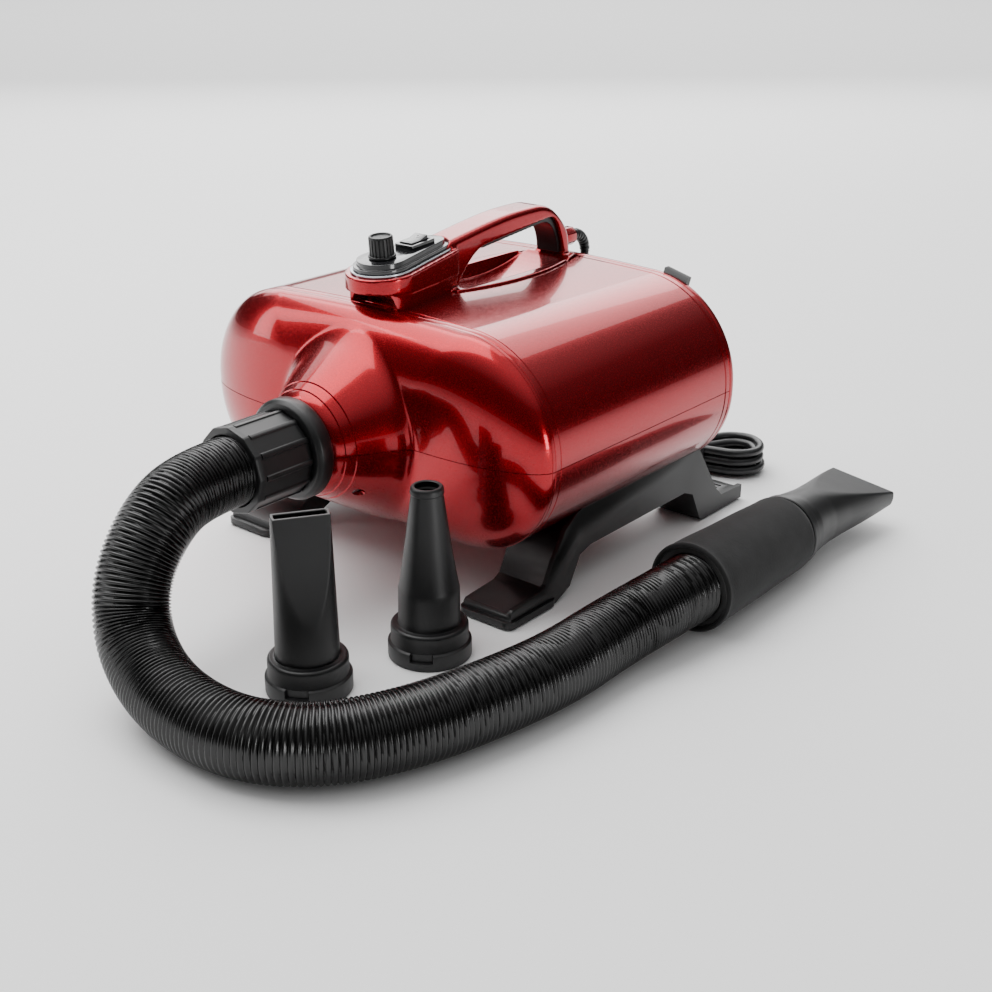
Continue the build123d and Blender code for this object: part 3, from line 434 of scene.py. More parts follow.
@dataclass(frozen=True)
class Metal(Finish):
    """Bare or plated metal, brushed or polished."""

    def detail(self, tree: bpy.types.NodeTree, shader: bpy.types.Node) -> None:
        """Fine scratches vary the gloss."""
        shader.inputs["Metallic"].default_value = 1.0
        self.mottle(tree, shader, 6.0, self.colour, (self.roughness - 0.05, self.roughness + 0.08))


@dataclass(frozen=True)
class OpenFoam(Finish):
    """Open cell filter foam."""

    def detail(self, tree: bpy.types.NodeTree, shader: bpy.types.Node) -> None:
        """Open cells of about 1.5 mm."""
        self.grain(tree, shader, 1.5, 0.9, "ShaderNodeTexVoronoi")


@dataclass(frozen=True)
class Paper(Finish):
    """Matt white background paper."""

    def detail(self, tree: bpy.types.NodeTree, shader: bpy.types.Node) -> None:
        """Nothing but its soft white."""
        shader.inputs["Specular IOR Level"].default_value = 0.2


class Look(Enum):
    """The dryer's finishes."""

    CANDY_RED = CandyLacquer("candy_red_lacquer_on_abs", "#9E0012", 0.22, "red_casing")
    SATIN_BLACK = MouldedPlastic(
        "satin_black_moulded_abs", "#0C0C0D", 0.38, "black_satin", 0.45, 0.008, "#121213",
    )
    NOZZLE_BLACK = MouldedPlastic(
        "matt_black_moulded_nylon", "#0F0F10", 0.42, "black_satin", 0.6, 0.015, "#151516",
    )
    GLOSS_BLACK = PolishedPlastic("gloss_black_polished_abs", "#141416", 0.18, "black_gloss")
    HOSE_BLACK = MouldedPlastic(
        "black_extruded_hose_vinyl", "#030303", 0.24, "hose_black", 0.9, 0.006, "#050505",
    )
    FOAM_SLEEVE = KnittedFoam("black_jersey_neoprene", "#0E0E0E", 0.88, "black_satin")
    CORD_BLACK = MouldedPlastic("black_soft_pvc", "#171718", 0.36, "cord_black", 0.7, 0.01, "#202022")
    RUBBER = MouldedPlastic("black_moulded_rubber", "#1A1A1A", 0.62, "hose_black", 0.8, 0.02, "#232323")
    BRIGHT_RIM = Metal("plated_bright_rim", "#B9BCC2", 0.16, "bright_trim")
    STEEL = Metal("zinc_plated_steel", "#A9ABAF", 0.32, "shaft_steel")
    CAN_STEEL = Metal("drawn_motor_steel", "#8F9297", 0.38, "motor_steel")
    CAST_ALUMINIUM = Metal("die_cast_aluminium", "#C0C2C6", 0.40, "impeller_alu")
    BRASS = Metal("bright_brass", "#C9A45C", 0.25, "pin_brass")
    INNER_PLASTIC = MouldedPlastic("grey_black_inner_abs", "#2A2A2C", 0.55, "inner_plastic")
    FILTER_FOAM = OpenFoam("black_filter_foam", "#161617", 0.9, "foam")
    BOARD = PolishedPlastic("green_circuit_board", "#1D5B31", 0.4, "board_green")
    PRINT_WHITE = Finish("white_pad_print", "#E8E8E8", 0.5, "bright_trim")

    def on(self, item: bpy.types.Object) -> bpy.types.Object:
        """Dresses an object in this finish and returns it."""
        dress(item, self.value.build())
        return item


# ---------------------------------------------------------------- casing
@dataclass
class Casing:
    """The red shells: two half tubes, and a pillow-shaped nose that flows into the outlet cone."""

    half: float = 150.0
    top: float = 183.0
    bottom: float = 40.0
    crown: float = 2.0
    shoulder_r: float = 72.0
    lower_r: float = 65.0
    joint_y: float = -118.0
    rear_y: float = 81.5
    seam_z: float = 106.0
    seam_gap: float = 0.5
    nose_depth: float = 27.0
    nose_side: float = 80.0
    nose_top: float = 46.0
    axis_z: float = 107.0
    cone_base_r: float = 53.0
    cone_base_y: float = -151.0
    cone_end_r: float = 31.0
    cone_end_y: float = -187.0
    blend: float = 7.0
    wall: float = 2.4
    columns: int = 360

    def outline(self, inset_x: float = 0.0, inset_z: float = 0.0) -> np.ndarray:
        """Distance from the outlet axis to the casing's outline, in each column's direction.

        Args:
            inset_x: How far the sides are drawn in.
            inset_z: How far top and bottom are drawn in.

        Returns:
            One distance for each column.
        """
        half = self.half - inset_x
        top = self.top - inset_z
        low = self.bottom + inset_z
        r_top = self.shoulder_r - inset_z
        r_low = self.lower_r - inset_z
        flat = half - r_top
        low_flat = half - r_low
        shoulder = top - self.crown
        spots = []
        for x in np.linspace(-flat, flat, 121)[1:-1]:
            spots.append((x, shoulder + self.crown * (1 - (x / flat) ** 2)))
        for turn in np.radians(np.linspace(90, 0, 60)):
            spots.append((flat + r_top * math.cos(turn), shoulder - r_top + r_top * math.sin(turn)))
            spots.append((-flat - r_top * math.cos(turn), shoulder - r_top + r_top * math.sin(turn)))
        for turn in np.radians(np.linspace(0, -90, 60)):
            spots.append((low_flat + r_low * math.cos(turn), low + r_low + r_low * math.sin(turn)))
            spots.append((-low_flat - r_low * math.cos(turn), low + r_low + r_low * math.sin(turn)))
        for x in np.linspace(-low_flat, low_flat, 121)[1:-1]:
            spots.append((x, low))
        spots = np.array(spots)
        turns = np.arctan2(spots[:, 1] - self.axis_z, spots[:, 0])
        reach = np.hypot(spots[:, 0], spots[:, 1] - self.axis_z)
        order = np.argsort(turns)
        return np.interp(self.turns(), turns[order], reach[order], period=2 * math.pi)

    def turns(self) -> np.ndarray:
        """Direction of each column about the outlet axis, in radians."""
        return np.linspace(-math.pi, math.pi, self.columns, endpoint=False)

    def ring(self, reach: np.ndarray | float, y: np.ndarray | float) -> list[Point]:
        """One row of points at the given distances from the outlet axis."""
        turns = self.turns()
        xs = np.cos(turns) * reach
        zs = self.axis_z + np.sin(turns) * reach
        ys = np.broadcast_to(y, xs.shape)
        return list(zip(xs, ys, zs))

    def nose_rows(self) -> list[list[Point]]:
        """Rows from the cone's end, down the cone and over the pillow to the joint."""
        slope = (self.cone_base_r - self.cone_end_r) / (self.cone_base_y - self.cone_end_y)
        rows = []
        groove = 0.7
        cone = [(self.cone_end_y + 0.05, -1.2), (self.cone_end_y + 1.0, 0.0)]
        for line_y in (-181.0, -175.0):
            for across, depth in ((-0.75, 0.0), (-0.45, -groove), (0.45, -groove), (0.75, 0.0)):
                cone.append((line_y + across, depth))
        cone += [(y, 0.0) for y in np.linspace(-172.0, -160.0, 9)]
        for y, offset in cone:
            rows.append(self.ring(self.cone_end_r + (y - self.cone_end_y) * slope + offset, y))
        shrinks = np.linspace(0, 1, 60) ** 2
        reaches = np.array([self.outline(self.nose_side * s, self.nose_top * s) for s in shrinks])
        depths = self.joint_y - self.nose_depth * np.sqrt(1 - (1 - shrinks) ** 2)
        start = self.cone_end_r + (-158.0 - self.cone_end_y) * slope
        edge = reaches[0]
        for share in np.linspace(0, 1, 64):
            reach = start + (edge - start) * (1 - (1 - share) ** 2)
            pillow = np.array([
                np.interp(reach[c], reaches[::-1, c], depths[::-1]) for c in range(self.columns)
            ])
            cone_y = self.cone_end_y + (reach - self.cone_end_r) / slope
            share_cone = np.clip(0.5 + 0.5 * (pillow - cone_y) / self.blend, 0, 1)
            y = pillow * (1 - share_cone) + cone_y * share_cone - self.blend * share_cone * (1 - share_cone)
            rows.append(self.ring(reach, y))
        rows.append(self.ring(edge - 0.1, self.joint_y))
        rows.append(self.ring(edge - 1.0, self.joint_y))
        return rows

    def shell_rows(self) -> list[list[Point]]:
        """Rows along the main shells, with a raised lip at each end."""
        edge = self.outline()
        inner = edge - 0.55
        front = self.joint_y + 0.5
        stops = [
            (edge - 1.0, front), (inner + 0.3, front), (edge, front + 0.35),
            (edge, front + 4.6), (inner, front + 4.9), (inner, front + 5.6), (edge - 0.1, front + 5.9),
        ]
        stops += [(edge - 0.1, y) for y in np.linspace(-108, 70, 24)]
        rear = self.rear_y
        stops += [
            (edge - 0.1, rear - 5.9), (inner, rear - 5.6), (inner, rear - 4.9), (edge, rear - 4.6),
            (edge, rear - 0.4), (edge - 1.0, rear - 0.1),
        ]
        return [self.ring(reach, y) for reach, y in stops]

    def half_shell(self, name: str, rows: list[list[Point]], upper: bool) -> bpy.types.Object:
        """One half of a skin, cut at the seam and given its wall.

        Args:
            name: The piece's name, which is also that of the CAD node it stands for.
            rows: Rows of points of the whole skin.
            upper: Whether the half above the seam is kept.

        Returns:
            The closed, smooth shell.
        """
        points = [point for row in rows for point in row]
        item = make_object(name + "_skin", points, grid_faces(len(rows), self.columns))
        side = 1 if upper else -1
        level = (self.seam_z + side * self.seam_gap / 2) * MM

        def trim(work: bmesh.types.BMesh) -> None:
            outward(work)
            bmesh.ops.bisect_plane(
                work, geom=work.verts[:] + work.edges[:] + work.faces[:],
                plane_co=(0, 0, level), plane_no=(0, 0, -side), clear_outer=True,
            )

        edit_mesh(item, trim)
        apply_modifier(item, "SOLIDIFY", thickness=self.wall * MM, offset=-1.0, use_even_offset=False)
        return item

    def build(self) -> None:
        """Makes the four shells and the rear rim."""
        parts = {
            "nose_upper": (self.nose_rows(), True),
            "nose_lower": (self.nose_rows(), False),
            "upper_shell": (self.shell_rows(), True),
            "lower_shell": (self.shell_rows(), False),
        }
        for node, (rows, upper) in parts.items():
            item = self.half_shell(node, rows, upper)
            if node == "upper_shell":
                cut_away(item, Handle().boat_tool(0.25))
            if node == "nose_lower":
                for sign in (-1, 1):
                    cut_away(item, self.recess_tool(sign))
            smooth(item, 32)
            Look.CANDY_RED.on(item)
            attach(item, ROOT)
            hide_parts(node)
            LOG.info("%s: %d faces", item.name, len(item.data.polygons))

    def recess_tool(self, sign: int) -> bpy.types.Object:
        """The pocket of one recessed screw low on the cone."""
        turn = math.radians(44.0)
        out = Vector((sign * math.cos(turn), 0, -math.sin(turn)))
        start = Vector((0, -167.0, self.axis_z)) + out * 39.5
        return rod("recess_tool", start, out, [(3.6, 0.0), (3.6, 8.0)])


def rod(name: str, start: Vector, direction: Vector, profile: Sequence[tuple[float, float]],
        columns: int = 64) -> bpy.types.Object:
    """A closed turned solid.

    Args:
        name: The piece's name.
        start: Point on the axis, in millimetres.
        direction: The axis.
        profile: Radius and distance along the axis of each ring, from end to end.
        columns: Points round each ring.

    Returns:
        The solid.
    """
    forward = direction.normalized()
    across = forward.orthogonal().normalized()
    up = forward.cross(across)
    points = []
    for radius, distance in profile:
        centre = start + forward * distance
        for column in range(columns):
            turn = 2 * math.pi * column / columns
            points.append(tuple(centre + (across * math.cos(turn) + up * math.sin(turn)) * radius))
    return make_object(name, points, capped_faces(len(profile), columns))


# ---------------------------------------------------------------- handle
@dataclass
class Handle:
    """The carry handle: control pod in front, grip bar, rear leg and the dish between them."""

    boat_half: float = 31.0
    boat_front: float = -58.0
    boat_rear: float = 79.0

    def boat_tool(self, grow: float) -> bpy.types.Object:
        """A tall prism over the handle's whole footprint, to cut the upper shell open."""
        rim = []
        for share in np.linspace(0, 1, 40):
            y = self.boat_front + (self.boat_rear - self.boat_front) * share
            half = 17.5 + (self.boat_half - 17.5) * math.sin(math.pi * share) ** 0.9
            rim.append((half + grow, y))
        loop = rim + [(-x, y) for x, y in reversed(rim)]
        points = [(x, y, z) for z in (165.0, 200.0) for x, y in loop]
        item = make_object("boat_tool", points, capped_faces(2, len(loop)))
        edit_mesh(item, outward)
        return item

    def build(self) -> None:
        """Makes the moulded handle and its soft insert."""
        frame_piece = melt("handle_frame", 0.8, 5)
        Look.CANDY_RED.on(frame_piece)
        Look.SATIN_BLACK.on(melt("grip_insert", 0.5, 3))
        Look.CANDY_RED.on(soften_edges("cord_boss", 0.8))
        LOG.info("handle: %d faces", len(frame_piece.data.polygons))


# ---------------------------------------------------------------- shared shapes
def ring_solid(name: str, rows: Sequence[np.ndarray]) -> bpy.types.Object:
    """A closed hollow piece from loops that run up its outside and back down its inside.

    Args:
        name: The piece's name.
        rows: The loops, each an array of points in millimetres, all of the same length.

    Returns:
        The piece.
    """
    count = len(rows[0])
    faces = grid_faces(len(rows), count)
    last = (len(rows) - 1) * count
    for column in range(count):
        after = (column + 1) % count
        faces.append((last + column, last + after, after, column))
    item = make_object(name, np.concatenate(rows), faces)
    edit_mesh(item, outward)
    return item


def stand_in(item: bpy.types.Object, node: str, look: "Look", sharp: float = 35.0) -> bpy.types.Object:
    """Dresses a piece and lets it stand for a CAD node on that node's body.

    Args:
        item: The piece.
        node: The CAD node that it stands for.
        look: Its finish.
        sharp: Edges over this many degrees stay crisp.

    Returns:
        The piece.
    """
    smooth(item, sharp)
    look.on(item)
    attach(item, frame["nodes"][node]["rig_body"])
    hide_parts(node)
    LOG.info("%s stands for %s: %d faces", item.name, node, len(item.data.polygons))
    return item


def soft_clip(values: np.ndarray, limit: float, blend: float) -> np.ndarray:
    """Cuts values off at plus and minus a limit, with a small radius at the corner.

    Args:
        values: The values.
        limit: The largest size that is left.
        blend: Width of the rounded corner.

    Returns:
        The values that are left.
    """
    size = np.abs(values)
    share = np.clip(0.5 + 0.5 * (size - limit) / blend, 0, 1)
    cut = size * (1 - share) + limit * share - blend * share * (1 - share)
    return np.sign(values) * cut


# ---------------------------------------------------------------- cuff
@dataclass
class Cuff:
    """The swivel cuff that holds the hose: twelve flats with a rib on each corner."""

    axis_z: float = 107.0
    back_y: float = -200.3
    front_y: float = -243.6
    flat_r: float = 26.0
    rib: float = 0.75
    sides: int = 12
    spigot_r: float = 25.1
    bore_r: float = 22.3
    columns: int = 720

    def loop(self, y: float, offset: float, ribbed: bool = True) -> np.ndarray:
        """The cuff's outline.

        Args:
            y: Where the outline lies.
            offset: How far it is moved outwards.
            ribbed: Whether the corner ribs are on it.

        Returns:
            One point for each column.
        """
        turns = np.linspace(0, 2 * math.pi, self.columns, endpoint=False)
        step = 2 * math.pi / self.sides
        lean = np.mod(turns, step) - step / 2
        reach = np.minimum(self.flat_r / np.cos(lean), self.flat_r + 0.75) + offset
        if ribbed:
            corner = np.abs(np.abs(lean) - step / 2) * self.flat_r
            reach = reach + self.rib * np.clip((1.9 - corner) / 0.5, 0, 1)
        return self.circle(y, reach)

    def circle(self, y: float, reach: float | np.ndarray) -> np.ndarray:
        """A loop about the outlet axis."""
        turns = np.linspace(0, 2 * math.pi, self.columns, endpoint=False)
        reach = np.broadcast_to(reach, turns.shape)
        return np.stack(
            [np.cos(turns) * reach, np.full_like(turns, y), self.axis_z + np.sin(turns) * reach], axis=1
        )

    def build(self) -> None:
        """Makes the cuff."""
        back, front = self.back_y, self.front_y
        rows = [self.circle(back + 9.6, self.spigot_r), self.circle(back, self.spigot_r)]
        rows += [self.loop(back - 0.1, -0.9), self.loop(back - 0.5, -0.3), self.loop(back - 1.3, 0.0)]
        rows += [self.loop(y, 0.0) for y in np.linspace(back - 4, front + 6.4, 6)]
        rows += [self.loop(front + 5.9, 0.0), self.loop(front + 5.7, 0.0, False)]
        rows.append(self.loop(front + 4.9, 0.1, False))
        rows += [self.loop(front + 4.6, 0.95, False), self.loop(front + 1.0, 0.95, False)]
        rows += [self.loop(front + 0.4, 0.7, False), self.loop(front, 0.0, False)]
        rows += [self.circle(front, self.bore_r + 0.8), self.circle(front + 0.9, self.bore_r)]
        rows += [self.circle(front + 8, self.bore_r), self.circle(back + 9.6, self.bore_r)]
        stand_in(ring_solid("fluted_cuff", rows), "hose_cuff", Look.SATIN_BLACK, 28)


# ---------------------------------------------------------------- hand grip
@dataclass
class Grip:
    """The foam sleeve on the hose's end and the wide nozzle that is plugged into it."""

    origin: Point = (216.0, -66.0, 29.527)
    tilt: float = 1.2563
    length: float = 114.0
    sleeve_r: float = 29.3
    tip_r: float = 26.9
    lining_r: float = 26.0
    socket_r: float = 24.2
    nozzle_end: float = 233.0
    mouth: tuple[float, float] = (26.0, 5.5)
    wall: float = 2.2
    roll: float = -8.0
    columns: int = 240

    def place(self, across: np.ndarray, up: np.ndarray, along: float | np.ndarray) -> np.ndarray:
        """Turns the grip's own directions into the frame's.

        Args:
            across: Distances to the axis's right.
            up: Distances above the axis.
            along: Distances along the axis, from the sleeve's hose end.

        Returns:
            The points.
        """
        lean = math.radians(self.tilt)
        along = np.broadcast_to(along, across.shape)
        x = self.origin[0] + across
        y = self.origin[1] + along * math.cos(lean) + up * math.sin(lean)
        z = self.origin[2] - along * math.sin(lean) + up * math.cos(lean)
        return np.stack([x, y, z], axis=1)

    def turns(self) -> np.ndarray:
        """Direction of each column."""
        return np.linspace(0, 2 * math.pi, self.columns, endpoint=False)

    def circle(self, radius: float | np.ndarray, along: float | np.ndarray) -> np.ndarray:
        """A loop about the axis."""
        turns = self.turns()
        return self.place(np.cos(turns) * radius, np.sin(turns) * radius, along)

    def sleeve(self) -> None:
        """A thick foam tube, a little uneven, with rolled ends."""
        turns = self.turns()
        rows = [self.circle(self.lining_r, 11.6), self.circle(self.lining_r, 1.6)]
        for turn in np.radians(np.linspace(0, 90, 6)):
            rows.append(self.circle(self.lining_r + 1.4 * (1 - math.cos(turn)), 1.6 * (1 - math.sin(turn))))
        for turn in np.radians(np.linspace(90, 0, 6)):
            rows.append(self.circle(self.sleeve_r - 1.6 + 1.6 * math.cos(turn), 1.6 * (1 - math.sin(turn))))
        for along in np.linspace(3, self.length - 4, 60):
            share = along / self.length
            radius = self.sleeve_r + (self.tip_r - self.sleeve_r) * share
            uneven = 0.14 * np.sin(3 * turns + 5 * share) * math.sin(9 * share)
            uneven += 0.08 * np.sin(7 * turns - 11 * share) - 0.2 * math.exp(-((along - 6) / 3.5) ** 2)
            rows.append(self.circle(radius - 0.2 + uneven, along))
        for turn in np.radians(np.linspace(0, 90, 7)):
            radius = self.tip_r - 3 + 2.8 * math.cos(turn)
            rows.append(self.circle(radius, self.length - 3 + 3 * math.sin(turn)))
        rows += [self.circle(self.socket_r, self.length), self.circle(self.socket_r, self.length - 10)]
        rows += [self.circle(23.6, self.length - 10), self.circle(23.6, 11.6)]
        stand_in(ring_solid("foam_grip", rows), "grip_sleeve", Look.FOAM_SLEEVE, 50)

    def nozzle_loop(self, along: float, half: float, height: float, limit: float) -> np.ndarray:
        """One section of the wide nozzle: an oval with its top and bottom cut flat.

        Args:
            along: Distance along the axis.
            half: Half the oval's width.
            height: Half the oval's height before it is cut.
            limit: Half the height that is left.

        Returns:
            The section's points.
        """
        turns = self.turns()
        across = half * np.sign(np.cos(turns)) * np.abs(np.cos(turns)) ** 0.9
        up = soft_clip(height * np.sin(turns), limit, min(1.6, limit / 3))
        lean = math.radians(self.roll)
        side = across * math.cos(lean) - up * math.sin(lean)
        rise = across * math.sin(lean) + up * math.cos(lean)
        return self.place(side, rise, along)

    def nozzle_rows(self, shrink: float) -> list[np.ndarray]:
        """Sections of the nozzle beyond its socket, from neck to mouth.

        Args:
            shrink: How far they lie inside the outer skin.

        Returns:
            The sections.
        """
        start = self.length + 16.0
        stops = np.array([start, start + 12, start + 24, start + 45, start + 75, self.nozzle_end])
        halves = np.array([23.4, 22.2, 21.4, 22.2, 24.4, self.mouth[0]])
        heights = np.array([23.4, 22.2, 21.0, 20.0, 19.0, 18.0])
        rows = []
        for along in np.linspace(start, self.nozzle_end, 56):
            limit = np.interp(along, [start, start + 22, self.nozzle_end], [26.0, 21.5, self.mouth[1]])
            rows.append(self.nozzle_loop(
                along, np.interp(along, stops, halves) - shrink, np.interp(along, stops, heights) - shrink,
                limit - shrink,
            ))
        return rows

    def nozzle(self) -> None:
        """The wide nozzle: socket with a collar, a slight neck, and a flat flared mouth."""
        base = self.length + 2.4
        rows = [self.circle(21.8, base), self.circle(24.9, base), self.circle(25.5, base + 0.6)]
        rows += [self.circle(25.5, base + 5.2), self.circle(25.1, base + 5.8), self.circle(23.7, base + 5.9)]
        rows += [self.circle(23.5, base + 6.4), self.circle(23.4, base + 10)]
        rows += self.nozzle_rows(0.0)
        rows += [self.nozzle_rows(shrink)[-1] + (0, 0.3, 0) for shrink in (0.35, self.wall - 0.4)]
        rows += self.nozzle_rows(self.wall)[::-1]
        rows += [self.circle(21.0, base + 12), self.circle(21.8, base + 11)]
        stand_in(ring_solid("wide_flat_nozzle", rows), "wide_nozzle", Look.NOZZLE_BLACK, 32)

    def build(self) -> None:
        """Makes the sleeve and the nozzle."""
        self.sleeve()
        self.nozzle()


# ---------------------------------------------------------------- spare nozzles
@dataclass
class SpareNozzle:
    """A nozzle that stands on its bayonet collar."""

    at: tuple[float, float]
    height: float = 110.0
    foot_top: float = 23.2
    ring_r: float = 25.6
    collar_r: float = 23.7
    body_r: float = 18.9
    bore_r: float = 16.9
    socket_r: float = 21.7
    notch_turn: float = -60.0
    wall: float = 2.1
    columns: int = 288

    def turns(self) -> np.ndarray:
        """Direction of each column."""
        return np.linspace(0, 2 * math.pi, self.columns, endpoint=False)

    def circle(self, radius: float | np.ndarray, height: float) -> np.ndarray:
        """A level loop about the nozzle's axis."""
        turns = self.turns()
        x = self.at[0] + np.cos(turns) * radius
        y = self.at[1] + np.sin(turns) * radius
        return np.stack([x, y, np.full_like(turns, height)], axis=1)

    def ring(self, radius: float, height: float) -> np.ndarray:
        """A loop of the bayonet ring, which steps in at its two notches."""
        away = np.abs(np.mod(np.degrees(self.turns()) - self.notch_turn, 180.0) - 90.0)
        notch = (away > 74.0) & (5.6 < height < 11.0)
        return self.circle(np.where(notch, self.collar_r - 0.3, radius), height)

    def foot_rows(self) -> list[np.ndarray]:
        """The collar's outside, from the floor up to the body."""
        ring, collar = self.ring_r, self.collar_r
        rows = [self.ring(ring - inset, height) for inset, height in (
            (0.7, 0.05), (0.1, 0.7), (0.0, 1.4), (0.0, 5.4),
            (0.0, 5.8), (0.0, 9.4), (0.15, 10.2), (0.8, 10.8),
        )]
        rows += [self.circle(collar + 0.3, 11.1), self.circle(collar, 11.6), self.circle(collar, 19.6)]
        for turn in np.radians(np.linspace(15, 90, 6)):
            rows.append(self.circle(collar - 2.2 + 2.2 * math.cos(turn), 20.0 + 2.2 * math.sin(turn)))
        rows += [self.circle(self.body_r + 1.2, 22.0), self.circle(self.body_r + 0.4, 22.3)]
        return rows

    def body_rows(self, shrink: float) -> list[np.ndarray]:
        """The body's loops, from the collar to the mouth.

        Args:
            shrink: How far they lie inside the outer skin.

        Returns:
            The loops.
        """
        raise NotImplementedError

    def rows(self) -> list[np.ndarray]:
        """All loops: up the outside and down the inside."""
        inner = self.body_rows(self.wall)[::-1]
        rows = self.foot_rows() + self.body_rows(0.0)
        rows += [self.body_rows(0.4)[-1] + (0, 0, 0.35), self.body_rows(self.wall - 0.4)[-1] + (0, 0, 0.35)]
        rows += inner
        rows += [self.circle(self.bore_r, 20.0), self.circle(self.socket_r, 19.6)]
        rows += [self.circle(self.socket_r, 0.6), self.circle(self.socket_r + 0.5, 0.05)]
        return rows


@dataclass
class RoundNozzle(SpareNozzle):
    """The round nozzle: a short cylinder, then a long taper to a rimmed mouth."""

    kink_z: float = 45.0
    mouth_r: float = 9.0
    rim: float = 0.7

    def body_rows(self, shrink: float) -> list[np.ndarray]:
        """A straight foot, a soft kink, a slightly hollow taper and a rim.

        Args:
            shrink: How far the loops lie inside the outer skin.

        Returns:
            The loops.
        """
        rows = []
        top = self.height - 0.4
        straight = np.linspace(self.foot_top, self.kink_z, 8)
        tapered = np.linspace(self.kink_z + 0.8, top, 70)
        for height in np.concatenate([straight, tapered]):
            radius = self.body_r - 0.4 * (height - self.foot_top) / (self.kink_z - self.foot_top)
            if height > self.kink_z:
                share = (height - self.kink_z) / (top - self.kink_z)
                radius = self.body_r - 0.4 - (self.body_r - 0.4 - self.mouth_r) * share ** 0.86
            bead = top - height
            if bead < 4.4:
                edge = 1.0 if bead > 0.9 else 0.4 + 0.6 * bead / 0.9
                radius += self.rim * min(1.0, (4.4 - bead) / 0.7) * edge
            rows.append(self.circle(radius - shrink, height))
        return rows

    def build(self) -> None:
        """Makes the round nozzle."""
        stand_in(ring_solid("bell_nozzle", self.rows()), "round_nozzle", Look.NOZZLE_BLACK, 32)


@dataclass
class FlatNozzle(SpareNozzle):
    """The flat nozzle: a round body with a broad flat pressed into each side."""

    mouth: tuple[float, float] = (16.5, 5.0)
    turn: float = 56.0
    scoop_z: float = 43.0

    def body_rows(self, shrink: float) -> list[np.ndarray]:
        """Round sections whose two sides are cut flatter the higher they are.

        Args:
            shrink: How far the loops lie inside the outer skin.

        Returns:
            The loops.
        """
        turns = self.turns()
        lean = math.radians(self.turn)
        rows = []
        top = self.height - 0.4
        for height in np.linspace(self.foot_top, top, 90):
            share = (height - self.foot_top) / (top - self.foot_top)
            radius = self.body_r + (self.mouth[0] + 0.4 - self.body_r) * share - shrink
            limit = np.interp(height, [self.scoop_z, top], [self.body_r + 0.3, self.mouth[1]]) - shrink
            across = np.cos(turns) * radius
            depth = soft_clip(np.sin(turns) * radius, limit, 0.7)
            x = self.at[0] + across * math.cos(lean) - depth * math.sin(lean)
            y = self.at[1] + across * math.sin(lean) + depth * math.cos(lean)
            rows.append(np.stack([x, y, np.full_like(x, height)], axis=1))
        return rows

    def build(self) -> None:
        """Makes the flat nozzle."""
        stand_in(ring_solid("slot_nozzle", self.rows()), "flat_nozzle", Look.NOZZLE_BLACK, 32)


